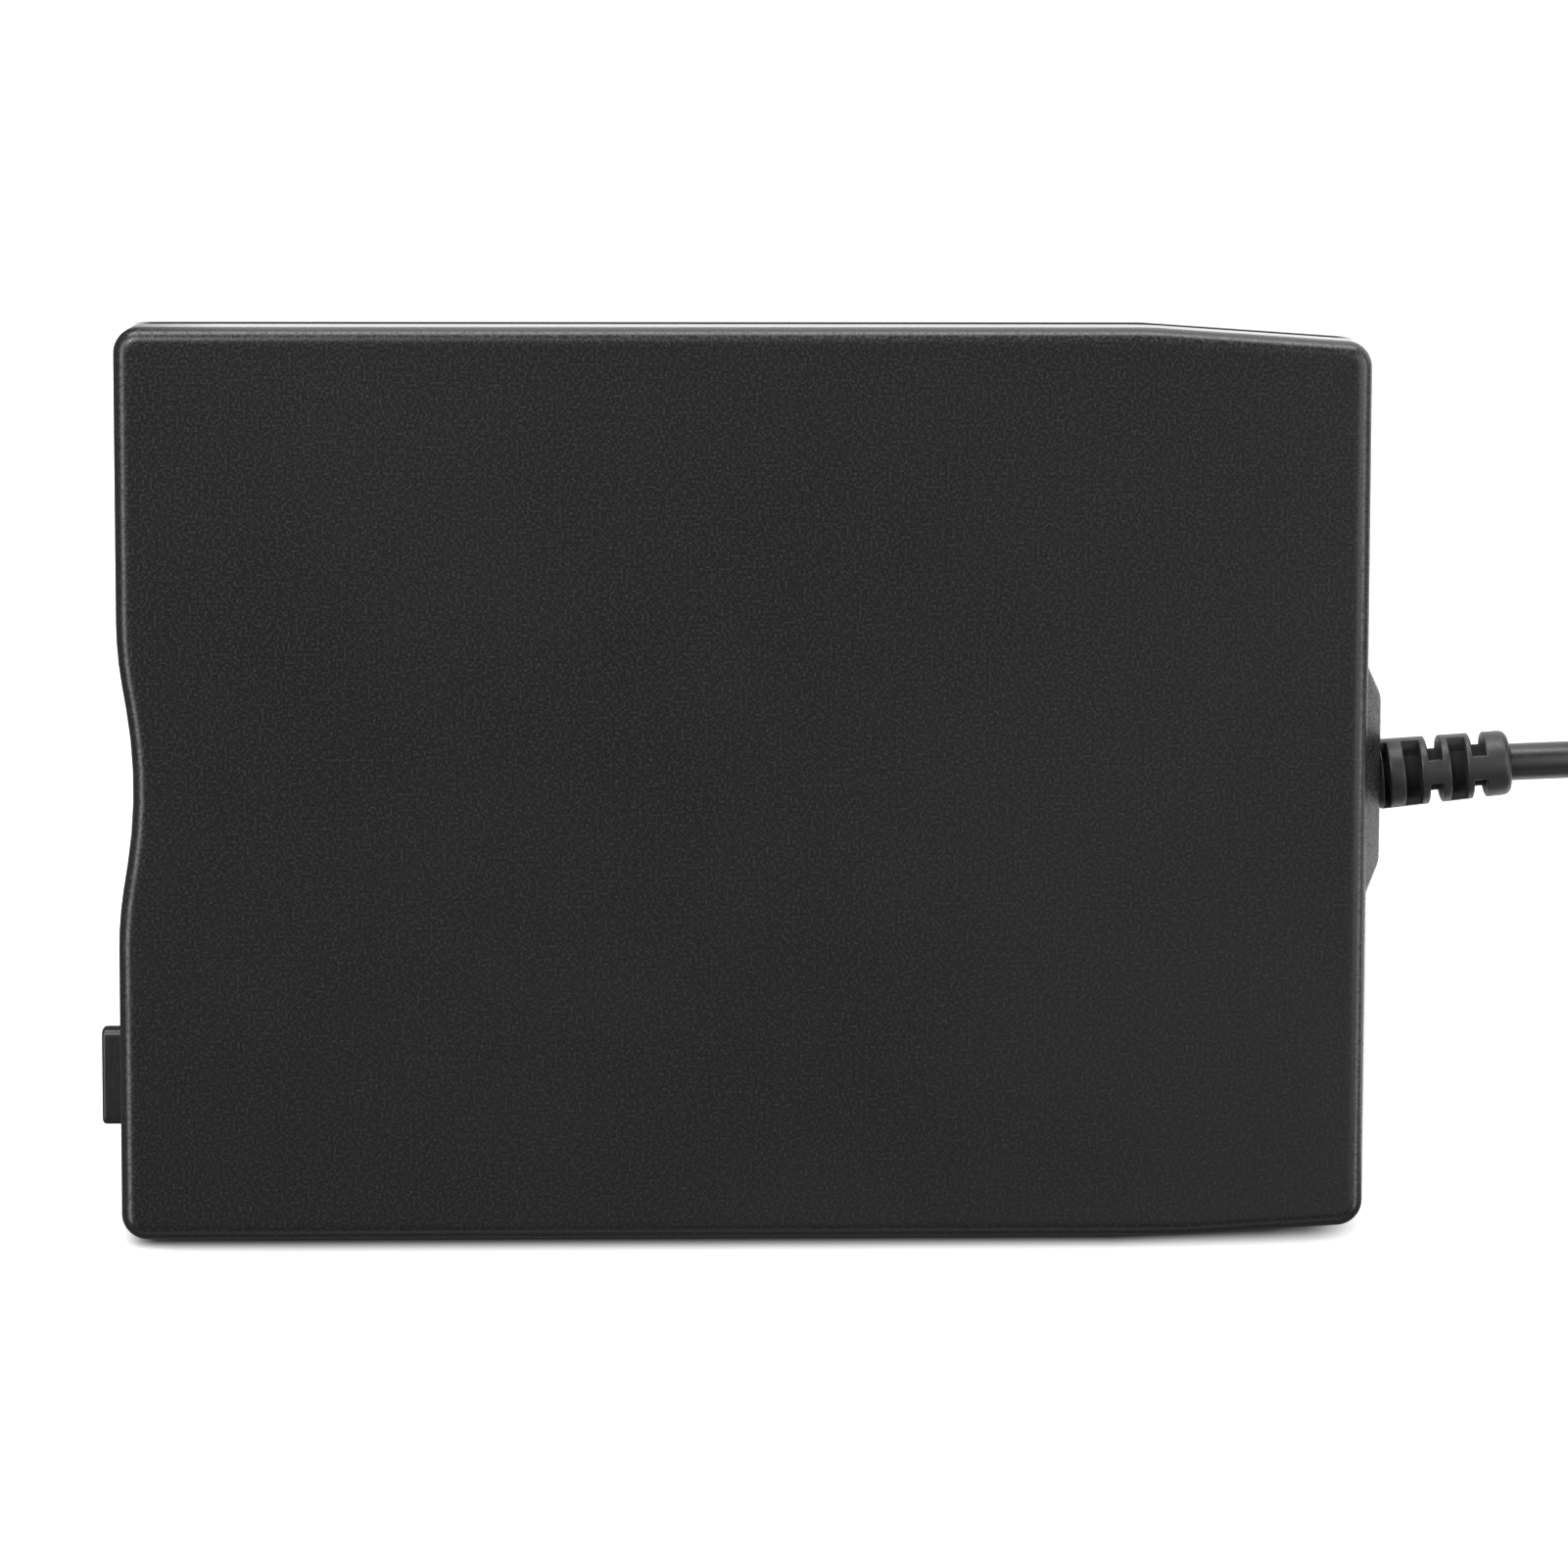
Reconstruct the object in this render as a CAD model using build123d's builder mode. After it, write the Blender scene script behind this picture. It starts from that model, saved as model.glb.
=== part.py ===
"""External USB floppy disk drive: a slim case, the drive unit inside it, and its lead.

Millimetres, +Z up. The drive lies on its feet with the disk slot towards -Y, the eject button on the +X
side and the lead leaving towards +Y. The origin is on the desk, under the middle of the case.
"""

import os
from math import cos, pi, radians, sin, tan

from build123d import *

os.makedirs("parts", exist_ok=True)

# ---------------------------------------------------------------------------------------------------------
# Driving dimensions
# ---------------------------------------------------------------------------------------------------------

# Case
case_length = 142.0
case_width = 104.0
case_height = 17.0
foot_height = 1.0
side_wall = 1.8
face_wall = 1.6
corner_radius = 3.0
face_fillet = 1.8
seam_chamfer = 0.25
rear_taper_depth = 1.7
rear_taper_length = 25.0
lip_thickness = 0.8
lip_height = 1.2
lip_clearance = 0.1
cut_through = 1.0
label_recess_length = 62.0
label_recess_width = 36.0
label_recess_depth = 0.2

# Thumb recess in the front edge
recess_half_width = 18.7
recess_depth = 1.79
recess_flank_angle = 9.5
recess_lead_radius = 43.0

# Boss on the rear wall that the lead comes out of
boss_base_width = 26.4
boss_face_width = 19.3
boss_base_height = 13.6
boss_face_height = 8.6
boss_depth = 1.85
exit_x = -0.4

# Front panel, in a window that the two shells leave
window_side = 4.0
window_height = 10.8
window_middle = 9.8
panel_clearance = 0.25
panel_setback = 0.4
panel_flange_side = 1.7
panel_flange_height = 13.0
panel_flange_thickness = 1.0
slot_side = 2.0
slot_height = 4.4
slot_middle = 12.4
slot_corner = 0.6

# Slot door
door_thickness = 0.8
door_barrel_radius = 0.6
door_overlap = 0.3
door_gap = 0.3
door_hinge_height = 15.4
door_pin_radius = 0.3
door_pin_clearance = 0.05
door_lug_thickness = 1.4
door_end_gap = 0.3
door_spring_turns = 5
door_spring_length = 1.4
door_pin_end = 1.8
door_spring_gap = 0.05
door_spring_wire = 0.144
door_spring_end_gap = 0.1

# Eject button and status lens
button_width = 11.2
button_height = 3.4
button_corner = 1.0
button_side_round = 0.9
button_face_round = 0.5
button_from_side = 17.5
button_middle_z = 6.9
button_stand_out = 2.7
button_clearance = 0.3
lens_width = 4.0
lens_height = 1.5
lens_from_side = 14.0
lens_clearance = 0.05
lens_stand_in = 1.0
light_depth = 1.2

# Drive unit
drive_side_gap = 2.0
drive_front_gap = 6.0
drive_rear_gap = 12.0
drive_lift = 0.3
drive_floor = 1.0
drive_wall = 0.8
drive_wall_height = 12.4
drive_mouth = 5.0
shield_thickness = 0.4
shield_setback = 7.0
shield_flange = 3.4
shield_gap = 0.1

# Disk holder
holder_side_gap = 2.1
holder_sheet = 0.5
holder_roof = 0.4
holder_lip_width = 5.0
holder_lip = 0.4
holder_setback = 5.7
holder_rear_gap = 28.5
holder_height = 5.2
holder_bottom = 9.9
holder_window_width = 18.0
holder_window_run = 5.5
holder_drop = 2.4
holder_pin_radius = 0.7
holder_pin_front = 14.3
holder_pin_rear = 18.5
holder_pin_height = 12.0
guide_clearance = 0.15

# Eject slider
slider_sheet = 0.5
slider_gap = 0.35
slider_lift = 0.2
slider_setback = 6.0
slider_rear_gap = 37.0
slider_strip = 5.0
slider_top = 13.8
slider_travel = 4.5
slider_tab_width = 7.0
slider_tab_reach = 2.0
spring_post_gap = 8.0
spring_hook_gap = 30.0
spring_coil_radius = 1.05
spring_wire_radius = 0.16
spring_turns = 14
spring_offset = 2.9
spring_post_radius = 0.6
spring_post_height = 3.6
spring_hook_height = 3.2

# Spindle
spindle_y = -19.0
motor_board_width = 48.0
motor_board_length = 52.0
board_thickness = 0.5
coil_count = 9
coil_ring_radius = 14.5
coil_radius = 4.4
coil_bore = 1.8
coil_height = 0.6
bearing_radius = 3.6
bearing_height = 1.8
shaft_radius = 1.5
shaft_clearance = 0.05
shaft_end_gap = 0.1
rotor_radius = 21.0
rotor_thickness = 0.7
rotor_rim = 0.8
rotor_rim_depth = 0.9
magnet_outer_gap = 0.1
magnet_inner_radius = 9.0
magnet_air_gap = 0.4
chuck_radius = 11.0
chuck_height = 0.7
drive_pin_radius = 1.1
drive_pin_ring = 8.2
drive_pin_height = 0.8
shaft_stand_out = 1.4

# Head carriage, at the outermost track
track_travel = 15.0
head_y = 20.5
arm_hinge_gap = 11.5
carriage_width = 33.0
carriage_length = 9.0
carriage_bottom = 5.0
carriage_plate = 1.9
carriage_offset = 1.0
carriage_nose = 1.0
carriage_arm_width = 9.0
carriage_block_width = 13.0
carriage_block_length = 6.0
carriage_block_top = 12.3
head_length = 3.4
head_width = 2.6
lower_head_top = 9.6
arm_bottom = 14.45
arm_thickness = 0.6
arm_width = 8.0
upper_head_height = 0.55
arm_pin_radius = 0.5
arm_pin_clearance = 0.06
arm_pin_drop = 0.3
arm_ear_gap = 0.3
arm_ear_thickness = 0.5
arm_ear_half = 1.5
arm_ear_above = 0.5
arm_tail = 1.0
arm_tail_drop = 0.7

# Rods, lead screw and stepping motor
rod_radius = 1.0
rod_clearance = 0.05
rod_spacing = 28.0
rod_height = 6.2
rod_boss_radius = 1.7
rod_reach = 34.0
clamp_length = 2.0
clamp_width = 4.4
clamp_above = 0.4
screw_x = 24.0
screw_radius = 1.2
screw_height = 9.0
screw_reach = 29.0
screw_bearing_width = 5.0
screw_bearing_length = 1.5
screw_lead = 3.75
screw_groove_start = 1.5
screw_groove_spare = 4.0
screw_stub_radius = 0.72
screw_bearing_gap = 0.2
screw_bearing_above = 1.8
screw_seat = 1.0
screw_seat_gap = 0.2
stepper_radius = 4.9
stepper_length = 9.0
stepper_collar_radius = 2.2
stepper_collar = 0.8
follower_length = 1.4
follower_gap = 0.15
follower_root = 1.0
follower_end = 1.5

sensor_x = 8.0
sensor_width = 5.0
sensor_length = 4.0
sensor_height = 5.0
sensor_gap = 2.0
sensor_clearance = 1.5
sensor_step = 0.5
flag_thickness = 0.8
flex_width = 6.0
flex_thickness = 0.15
flex_set_back = 1.0
flex_land = 2.4
flex_lift = 0.3
flex_foot = 1.5
flex_foot_length = 3.5
header_height = 2.6
header_set_back = 1.0
usb_chip_x = 14.0
usb_chip_size = 6.0
crystal_x = 25.0
crystal_length = 8.0
crystal_width = 3.4
crystal_height = 3.2

# Release lever
lever_from_side = 8.2
lever_from_rear = 25.0
lever_length = 22.0
lever_angle = -48.0
lever_width = 3.2
lever_height = 11.0
lever_sheet = 0.8
lever_tip_radius = 1.1
lever_post_radius = 1.0
lever_post_clearance = 0.06
lever_post_shoulder = 0.7
lever_post_gap = 0.1
lever_post_above = 0.6
lever_hub_radius = 2.4
lever_pin_low_gap = 0.5
lever_pin_high_gap = 0.3
lever_spring_gap = 0.1
lever_spring_drop = 0.3
lever_spring_pitch = 0.48
lever_spring_turns = 4

# Boards and switches
drive_board_side_gap = 0.6
drive_board_gap = 4.2
drive_board_hook_gap = 5.0
drive_board_rear_gap = 31.0
board_arm_screw_gap = 3.0
board_arm_rod_gap = 4.0
board_arm_overlap = 6.0
board_arm_rear_gap = 2.0
drive_board_thickness = 0.8
board_post = 0.7
board_post_radius = 1.6
board_post_inset = 2.5
arm_post_inset = 2.0
chip_height = 1.1
controller_size = 10.0
controller_from_rear = 18.0
driver_size = 7.0
driver_from_front = 16.0
regulator_width = 3.0
regulator_length = 1.6
regulator_offset = 4.0
regulator_from_front = 5.0
amplifier_width = 6.0
amplifier_length = 5.0
amplifier_from_front = 11.0
switch_width = 4.5
switch_length = 20.0
switch_from_side = 10.0
switch_from_front = 25.0
switch_height = 2.9
plunger_radius = 0.8
plunger_clearance = 0.1
plunger_end_gap = 0.1
plunger_well_floor = 0.05
plunger_spacing = 6.5
plunger_top = 8.9
plunger_travel = 0.9
usb_board_width = 68.0
usb_board_height = 4.6
usb_board_gap = 1.2
usb_board_flange_gap = 0.5
ribbon_width = 11.0
ribbon_thickness = 0.2
ribbon_rise = 0.8
ribbon_slot_margin = 1.0
ribbon_slot_bottom = 0.5
ribbon_slot_top = 5.0
socket_height = 1.6
socket_depth = 2.6
socket_margin = 0.5
socket_from_end = 0.6
socket_from_front = 0.4
wire_radius = 0.45
wire_count = 4
wire_pitch = 2.0
wire_bunching = 2.2
wire_run = 1.5

# Fasteners and feet
screw_shaft_radius = 1.0
screw_fit = 0.02
screw_head_radius = 1.8
screw_head_height = 0.8
screw_head_clearance = 0.2
screw_hole_radius = 1.2
case_screw_from_side = 7.5
case_screw_from_rear = 6.8
case_screw_length = 9.0
case_boss_radius = 3.0
case_post_height = 5.0
case_screw_spare = 0.5
cross_drive_length = 1.6
cross_drive_width = 0.3
drive_screw_from_side = 15.2
drive_screw_from_front = 17.0
drive_screw_from_rear = 21.0
drive_screw_length = 3.4
drive_collar_radius = 2.0
drive_collar_height = 1.4
drive_boss_wall = 1.0
foot_radius = 4.5
foot_recess = 0.5
foot_fit = 0.05
foot_from_side = 9.0
foot_from_front = 11.0
foot_from_rear = 19.0

# Lead, strain relief and plug
lead_diameter = 4.3
relief_length = 15.0
relief_tilt = 5.3
relief_root_radius = 4.03
relief_tip_radius = 3.7
relief_core_radius = 2.7
relief_neck_radius = 3.5
relief_neck_fit = 0.1
relief_flange_radius = 4.8
relief_flange = 1.6
relief_web = 2.7
relief_tip_round = 0.5
coil_middle_radius = 24.1
coil_turn_pitch = 4.4
coil_edge_round = 2.0
tie_width = 3.0
tie_thickness = 0.8
grip_length = 24.0
grip_width = 15.6
grip_height = 8.0
grip_round = 1.6
grip_nose = 5.0
plug_width = 12.0
plug_height = 4.5
plug_length = 18.75
plug_sheet = 0.35
plug_window = 2.2
plug_window_pitch = 5.4
plug_window_place = 8.0
contact_pitch = 2.4
contact_width = 1.0
contact_thickness = 0.2
contact_front_gap = 6.0
contact_rear_gap = 1.5
tie_angle = 215.0

# ---------------------------------------------------------------------------------------------------------
# Levels and places worked out from the sizes above
# ---------------------------------------------------------------------------------------------------------

case_bottom = foot_height
case_top = case_bottom + case_height
seam = (case_bottom + case_top) / 2
floor_top = case_bottom + face_wall
roof_bottom = case_top - face_wall
front_face = -case_length / 2
rear_face = case_length / 2
front_inner = front_face + recess_depth + side_wall
rear_inner = rear_face - side_wall
boss_face = rear_face + boss_depth
exit_place = [(exit_x, seam)]
case_screw_x = case_width / 2 - case_screw_from_side
case_screw_y = rear_face - case_screw_from_rear
foot_x = case_width / 2 - foot_from_side
foot_front = front_face + foot_from_front
foot_rear = rear_face - foot_from_rear

window_width = case_width - 2 * window_side
panel_flange_width = window_width + 2 * panel_flange_side
slot_width = window_width - 2 * slot_side
button_middle_x = case_width / 2 - button_from_side
lens_x = lens_from_side - case_width / 2
window_bottom = window_middle - window_height / 2
window_top = window_middle + window_height / 2
flange_front = front_inner + lip_clearance
flange_rear = flange_front + panel_flange_thickness
slot_bottom = slot_middle - slot_height / 2

door_front = flange_rear + door_gap
door_hinge_y = door_front + door_barrel_radius
door_bottom = slot_bottom - door_overlap
door_width = slot_width + 2 * door_overlap

drive_width = case_width - 2 * (side_wall + drive_side_gap)
drive_front = case_length / 2 - drive_front_gap
drive_rear = case_length / 2 - drive_rear_gap
drive_screw_x = drive_width / 2 - drive_screw_from_side
drive_screw_front = drive_screw_from_front - drive_front
drive_screw_rear = drive_rear - drive_screw_from_rear
tray_bottom = floor_top + drive_lift
tray_floor = tray_bottom + drive_floor
tray_top = tray_bottom + drive_wall_height
tray_inner = drive_width / 2 - drive_wall
tray_front = -drive_front

shield_front = drive_front - shield_setback
holder_side = drive_width / 2 - holder_side_gap
holder_front = drive_front - holder_setback
holder_rear = drive_rear - holder_rear_gap
holder_window_front = head_y - track_travel - holder_window_run
holder_pin_places = (holder_pin_front - holder_front, holder_rear - holder_pin_rear)
holder_top = holder_bottom + holder_height
slider_side = tray_inner - slider_gap
slider_front = drive_front - slider_setback
slider_rear = drive_rear - slider_rear_gap
slider_tab_y = -slider_front - slider_tab_reach
spring_post_y = spring_post_gap - slider_front
spring_hook_y = spring_hook_gap - slider_front
slider_bottom = tray_floor + slider_lift

motor_board_top = tray_floor + board_thickness
coil_top = motor_board_top + coil_height
rotor_bottom = coil_top + magnet_air_gap + rotor_rim_depth
rotor_top = rotor_bottom + rotor_thickness
chuck_top = rotor_top + chuck_height

arm_hinge_y = drive_rear - arm_hinge_gap
carriage_front = arm_hinge_y - carriage_length / 2 - carriage_offset
carriage_top = carriage_bottom + carriage_plate
stepper_front = drive_rear - drive_wall - stepper_length
rod_front = drive_rear - rod_reach
screw_front = drive_rear - screw_reach
lever_x = lever_from_side - drive_width / 2
lever_y = drive_rear - lever_from_rear
switch_x = drive_width / 2 - switch_from_side
switch_y = switch_from_front - drive_front

lead_radius = lead_diameter / 2
drive_board_rear = drive_rear - drive_board_rear_gap
drive_board_front = spring_hook_y + drive_board_hook_gap
drive_board_inner = motor_board_width / 2 + drive_board_gap
board_arm_inner = rod_spacing / 2 + board_arm_rod_gap
board_arm_outer = drive_screw_x - board_arm_screw_gap
board_arm_middle = (board_arm_inner + board_arm_outer) / 2
board_arm_front = drive_board_rear - board_arm_overlap
board_arm_rear = drive_rear - board_arm_rear_gap
ribbon_x = -board_arm_middle
drive_board_bottom = tray_floor + board_post
drive_board_top = drive_board_bottom + drive_board_thickness


def case_outline(inset, height):
    """Plan outline of the case at a height, drawn in all round by inset."""
    half_width = case_width / 2
    lean = radians(recess_flank_angle)
    bend = (recess_half_width * sin(lean) - recess_depth * cos(lean)) / (1 - cos(lean))
    flank = (recess_half_width - bend * sin(lean)) / cos(lean)
    with BuildSketch(Plane.XY.offset(height)) as outline:
        with BuildLine():
            left = Line((-half_width, front_face), (-recess_half_width, front_face))
            lead_in = JernArc(left @ 1, (1, 0), recess_lead_radius, recess_flank_angle)
            down = PolarLine(lead_in @ 1, flank, recess_flank_angle)
            floor_bend = JernArc(down @ 1, down % 1, bend - recess_lead_radius, -2 * recess_flank_angle)
            up = PolarLine(floor_bend @ 1, flank, -recess_flank_angle)
            lead_out = JernArc(up @ 1, up % 1, recess_lead_radius, recess_flank_angle)
            Polyline(
                lead_out @ 1,
                (half_width, front_face),
                (half_width, rear_face - rear_taper_length),
                (half_width - rear_taper_depth, rear_face),
                (rear_taper_depth - half_width, rear_face),
                (-half_width, rear_face - rear_taper_length),
                left @ 0,
            )
        make_face()
        corners = outline.vertices().filter_by(lambda v: abs(v.X) > half_width - rear_taper_depth - 0.1)
        fillet(corners.group_by(Axis.Y)[0] + corners.group_by(Axis.Y)[-1], corner_radius)
        if inset > 0:
            offset(amount=-inset, kind=Kind.INTERSECTION)
    return outline.sketch


def brick(x_range, y_range, z_range, mode=Mode.ADD):
    """Add or cut a box that spans three ranges."""
    ranges = (x_range, y_range, z_range)
    middle = tuple((low + high) / 2 for low, high in ranges)
    with Locations(middle):
        Box(*(high - low for low, high in ranges), mode=mode)


def post(radius, places, z_range, mode=Mode.ADD):
    """Add or cut upright round posts that stand at (x, y) places."""
    middle = (z_range[0] + z_range[1]) / 2
    with Locations(*((x, y, middle) for x, y in places)):
        Cylinder(radius, z_range[1] - z_range[0], mode=mode)


def rod_along_y(radius, places, y_range, mode=Mode.ADD):
    """Add or cut round rods that lie along Y, centred on (x, z) places."""
    middle = (y_range[0] + y_range[1]) / 2
    with Locations(*((x, middle, z) for x, z in places)):
        Cylinder(radius, y_range[1] - y_range[0], rotation=(90, 0, 0), mode=mode)


def rod_along_x(radius, places, x_range, mode=Mode.ADD):
    """Add or cut round rods that lie along X, centred on (y, z) places."""
    middle = (x_range[0] + x_range[1]) / 2
    with Locations(*((middle, y, z) for y, z in places)):
        Cylinder(radius, x_range[1] - x_range[0], rotation=(0, 90, 0), mode=mode)


def cross_drive(x, y, head_bottom):
    """Cut a cross recess into a screw head from below."""
    with Locations((x, y, head_bottom)):
        Box(cross_drive_length, cross_drive_width, screw_head_height, mode=Mode.SUBTRACT)
        Box(cross_drive_width, cross_drive_length, screw_head_height, mode=Mode.SUBTRACT)


def both_sides(low, high):
    """The range from low to high on the +X side, and its mirror on the -X side."""
    return ((low, high), (-high, -low))


def save(shape, name):
    """Label a finished piece and write it."""
    shape.label = name
    export_step(shape, f"parts/{name}.step")


# ---------------------------------------------------------------------------------------------------------
# Case
# ---------------------------------------------------------------------------------------------------------

case_screw_places = [(side * case_screw_x, case_screw_y) for side in (1, -1)]
drive_screw_places = [
    (side * drive_screw_x, y) for side in (1, -1) for y in (drive_screw_front, drive_screw_rear)
]
foot_places = [(side * foot_x, y) for side in (1, -1) for y in (foot_front, foot_rear)]
usb_post_places = [
    (side * (usb_board_width / 2 - board_post_radius), drive_rear + usb_board_gap + 2 * board_post_radius)
    for side in (1, -1)
]
window_x = (-window_width / 2, window_width / 2)
window_y = (front_face - cut_through, front_inner + 0.01)
relief_bore = relief_neck_radius + relief_neck_fit
relief_bore_y = (rear_inner - cut_through, boss_face + cut_through)
screw_bore = screw_shaft_radius + screw_fit
screw_well_radius = screw_head_radius + screw_head_clearance
case_screw_head_top = case_bottom + face_wall
drive_screw_head_top = case_bottom + screw_head_height + screw_head_clearance
drive_screw_head_bottom = drive_screw_head_top - screw_head_height
drive_screw_tip = drive_screw_head_top + drive_screw_length
case_screw_tip = case_screw_head_top + case_screw_length
case_post_bottom = case_screw_head_top + case_post_height


def rear_boss(z_range):
    """The tapered boss on the rear wall, cut to one shell's height range."""
    with BuildPart(mode=Mode.PRIVATE) as boss:
        with BuildSketch(Plane((exit_x, rear_face, seam), x_dir=(1, 0, 0), z_dir=(0, 1, 0))) as boss_base:
            Rectangle(boss_base_width, boss_base_height)
        with BuildSketch(Plane((exit_x, boss_face, seam), x_dir=(1, 0, 0), z_dir=(0, 1, 0))):
            Rectangle(boss_face_width, boss_face_height)
        loft()
        extrude(boss_base.sketch, amount=-lip_clearance)
        rod_along_y(relief_bore, exit_place, relief_bore_y, Mode.SUBTRACT)
        middle = (z_range[0] + z_range[1]) / 2
        with Locations((0, rear_face, middle)):
            Box(case_width, case_width, z_range[1] - z_range[0], mode=Mode.INTERSECT)
    return boss.part


with BuildPart() as top_cover:
    extrude(case_outline(0, seam), amount=case_top - seam)
    fillet(top_cover.faces().sort_by(Axis.Z)[-1].edges(), face_fillet)
    chamfer(top_cover.faces().sort_by(Axis.Z)[0].edges(), seam_chamfer)
    extrude(case_outline(side_wall, seam), amount=roof_bottom - seam, mode=Mode.SUBTRACT)
    extrude(
        case_outline(side_wall - lip_thickness - lip_clearance, seam),
        amount=lip_height + lip_clearance,
        mode=Mode.SUBTRACT,
    )
    brick(window_x, window_y, (seam - cut_through, window_top), Mode.SUBTRACT)
    post(case_boss_radius, case_screw_places, (case_post_bottom, roof_bottom))
    post(screw_bore, case_screw_places, (0, case_screw_tip + case_screw_spare), Mode.SUBTRACT)
    add(rear_boss((seam, case_top)))
    rod_along_y(relief_bore, exit_place, relief_bore_y, Mode.SUBTRACT)
save(top_cover.part, "top_cover")

with BuildPart() as bottom_cover:
    extrude(case_outline(0, case_bottom), amount=seam - case_bottom)
    fillet(bottom_cover.faces().sort_by(Axis.Z)[0].edges(), face_fillet)
    chamfer(bottom_cover.faces().sort_by(Axis.Z)[-1].edges(), seam_chamfer)
    extrude(case_outline(side_wall, floor_top), amount=seam, mode=Mode.SUBTRACT)
    extrude(case_outline(side_wall - lip_thickness, seam), amount=lip_height)
    extrude(case_outline(side_wall, seam), amount=lip_height, mode=Mode.SUBTRACT)
    brick(window_x, window_y, (window_bottom, case_top), Mode.SUBTRACT)
    post(case_boss_radius, case_screw_places, (floor_top, case_post_bottom))
    post(screw_hole_radius, case_screw_places, (case_screw_head_top, case_post_bottom), Mode.SUBTRACT)
    post(screw_well_radius, case_screw_places, (0, case_screw_head_top), Mode.SUBTRACT)
    post(drive_collar_radius + drive_boss_wall, drive_screw_places, (floor_top, tray_bottom))
    post(screw_hole_radius, drive_screw_places, (0, tray_bottom), Mode.SUBTRACT)
    post(screw_well_radius, drive_screw_places, (0, drive_screw_head_top), Mode.SUBTRACT)
    post(foot_radius + foot_fit, foot_places, (0, case_bottom + foot_recess), Mode.SUBTRACT)
    post(board_post_radius, usb_post_places, (floor_top, usb_board_height))
    brick(
        (-label_recess_width / 2, label_recess_width / 2),
        (-label_recess_length / 2, label_recess_length / 2),
        (0, case_bottom + label_recess_depth),
        Mode.SUBTRACT,
    )
    add(rear_boss((case_bottom, seam)))
    rod_along_y(relief_bore, exit_place, relief_bore_y, Mode.SUBTRACT)
save(bottom_cover.part, "bottom_cover")


# ---------------------------------------------------------------------------------------------------------
# Front panel, slot door, button and lens
# ---------------------------------------------------------------------------------------------------------

button_x = (button_middle_x - button_width / 2, button_middle_x + button_width / 2)
button_z = (button_middle_z - button_height / 2, button_middle_z + button_height / 2)
lug_inner = door_width / 2 + door_end_gap
lug_x = both_sides(lug_inner, lug_inner + door_lug_thickness)

with BuildPart() as front_panel:
    extrude(case_outline(panel_setback, window_bottom), amount=window_height)
    brick(
        (panel_clearance - window_width / 2, window_width / 2 - panel_clearance),
        (front_face, flange_rear),
        (window_bottom + panel_clearance, window_top - panel_clearance),
        Mode.INTERSECT,
    )
    brick(
        (-panel_flange_width / 2, panel_flange_width / 2),
        (flange_front, flange_rear),
        (window_middle - panel_flange_height / 2, window_middle + panel_flange_height / 2),
    )
    with BuildSketch(Plane.XZ.offset(-flange_rear)):
        with Locations((0, slot_middle)):
            RectangleRounded(slot_width, slot_height, slot_corner)
        with Locations((button_middle_x, button_middle_z)):
            RectangleRounded(
                button_width + 2 * button_clearance, button_height + 2 * button_clearance, button_corner
            )
        with Locations((lens_x, button_middle_z)):
            Rectangle(lens_width, lens_height)
    extrude(amount=case_length / 2, mode=Mode.SUBTRACT)
    for x_range in lug_x:
        brick(
            x_range,
            (flange_rear, door_hinge_y + 2 * door_barrel_radius),
            (door_hinge_height - 3 * door_barrel_radius, door_hinge_height + 1.5 * door_barrel_radius),
        )
    rod_along_x(
        door_pin_radius + door_pin_clearance,
        [(door_hinge_y, door_hinge_height)],
        (-case_width / 2, case_width / 2),
        Mode.SUBTRACT,
    )
save(front_panel.part, "front_panel")

with BuildPart() as slot_door:
    brick(
        (-door_width / 2, door_width / 2),
        (door_front, door_front + door_thickness),
        (door_bottom, door_hinge_height),
    )
    rod_along_x(
        door_barrel_radius, [(door_hinge_y, door_hinge_height)], (-door_width / 2, door_width / 2)
    )
    rod_along_x(
        door_pin_radius + door_pin_clearance,
        [(door_hinge_y, door_hinge_height)],
        (-door_width / 2, door_width / 2),
        Mode.SUBTRACT,
    )
save(slot_door.part, "slot_door")

with BuildPart() as door_pin:
    rod_along_x(
        door_pin_radius,
        [(door_hinge_y, door_hinge_height)],
        (-lug_inner - door_lug_thickness - door_pin_end, lug_inner + door_lug_thickness + door_pin_end),
    )
save(door_pin.part, "door_pin")

with BuildPart() as eject_button:
    brick(button_x, (front_face - button_stand_out, slider_tab_y), button_z)
    fillet(eject_button.edges().filter_by(Axis.Y), button_side_round)
    fillet(eject_button.faces().sort_by(Axis.Y)[0].edges(), button_face_round)
save(eject_button.part, "eject_button")

with BuildPart() as led_lens:
    brick(
        (lens_x - lens_width / 2 + lens_clearance, lens_x + lens_width / 2 - lens_clearance),
        (front_face + panel_setback, flange_rear + lens_stand_in),
        (
            button_middle_z - lens_height / 2 + lens_clearance,
            button_middle_z + lens_height / 2 - lens_clearance,
        ),
    )
save(led_lens.part, "led_lens")

# ---------------------------------------------------------------------------------------------------------
# Chassis and disk holder
# ---------------------------------------------------------------------------------------------------------

board_outer = slider_side - slider_sheet - drive_board_side_gap
board_post_places = [
    (board_post_inset - board_outer, drive_board_front + board_post_inset),
    (board_post_inset - board_outer, drive_board_rear - board_post_inset),
    (-board_arm_middle, board_arm_rear - arm_post_inset),
]
pin_low = holder_pin_height - holder_drop
drive_collar_top = tray_floor + drive_collar_height
guide_half = holder_pin_radius + guide_clearance
ribbon_slot_half = ribbon_width / 2 + ribbon_slot_margin

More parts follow.
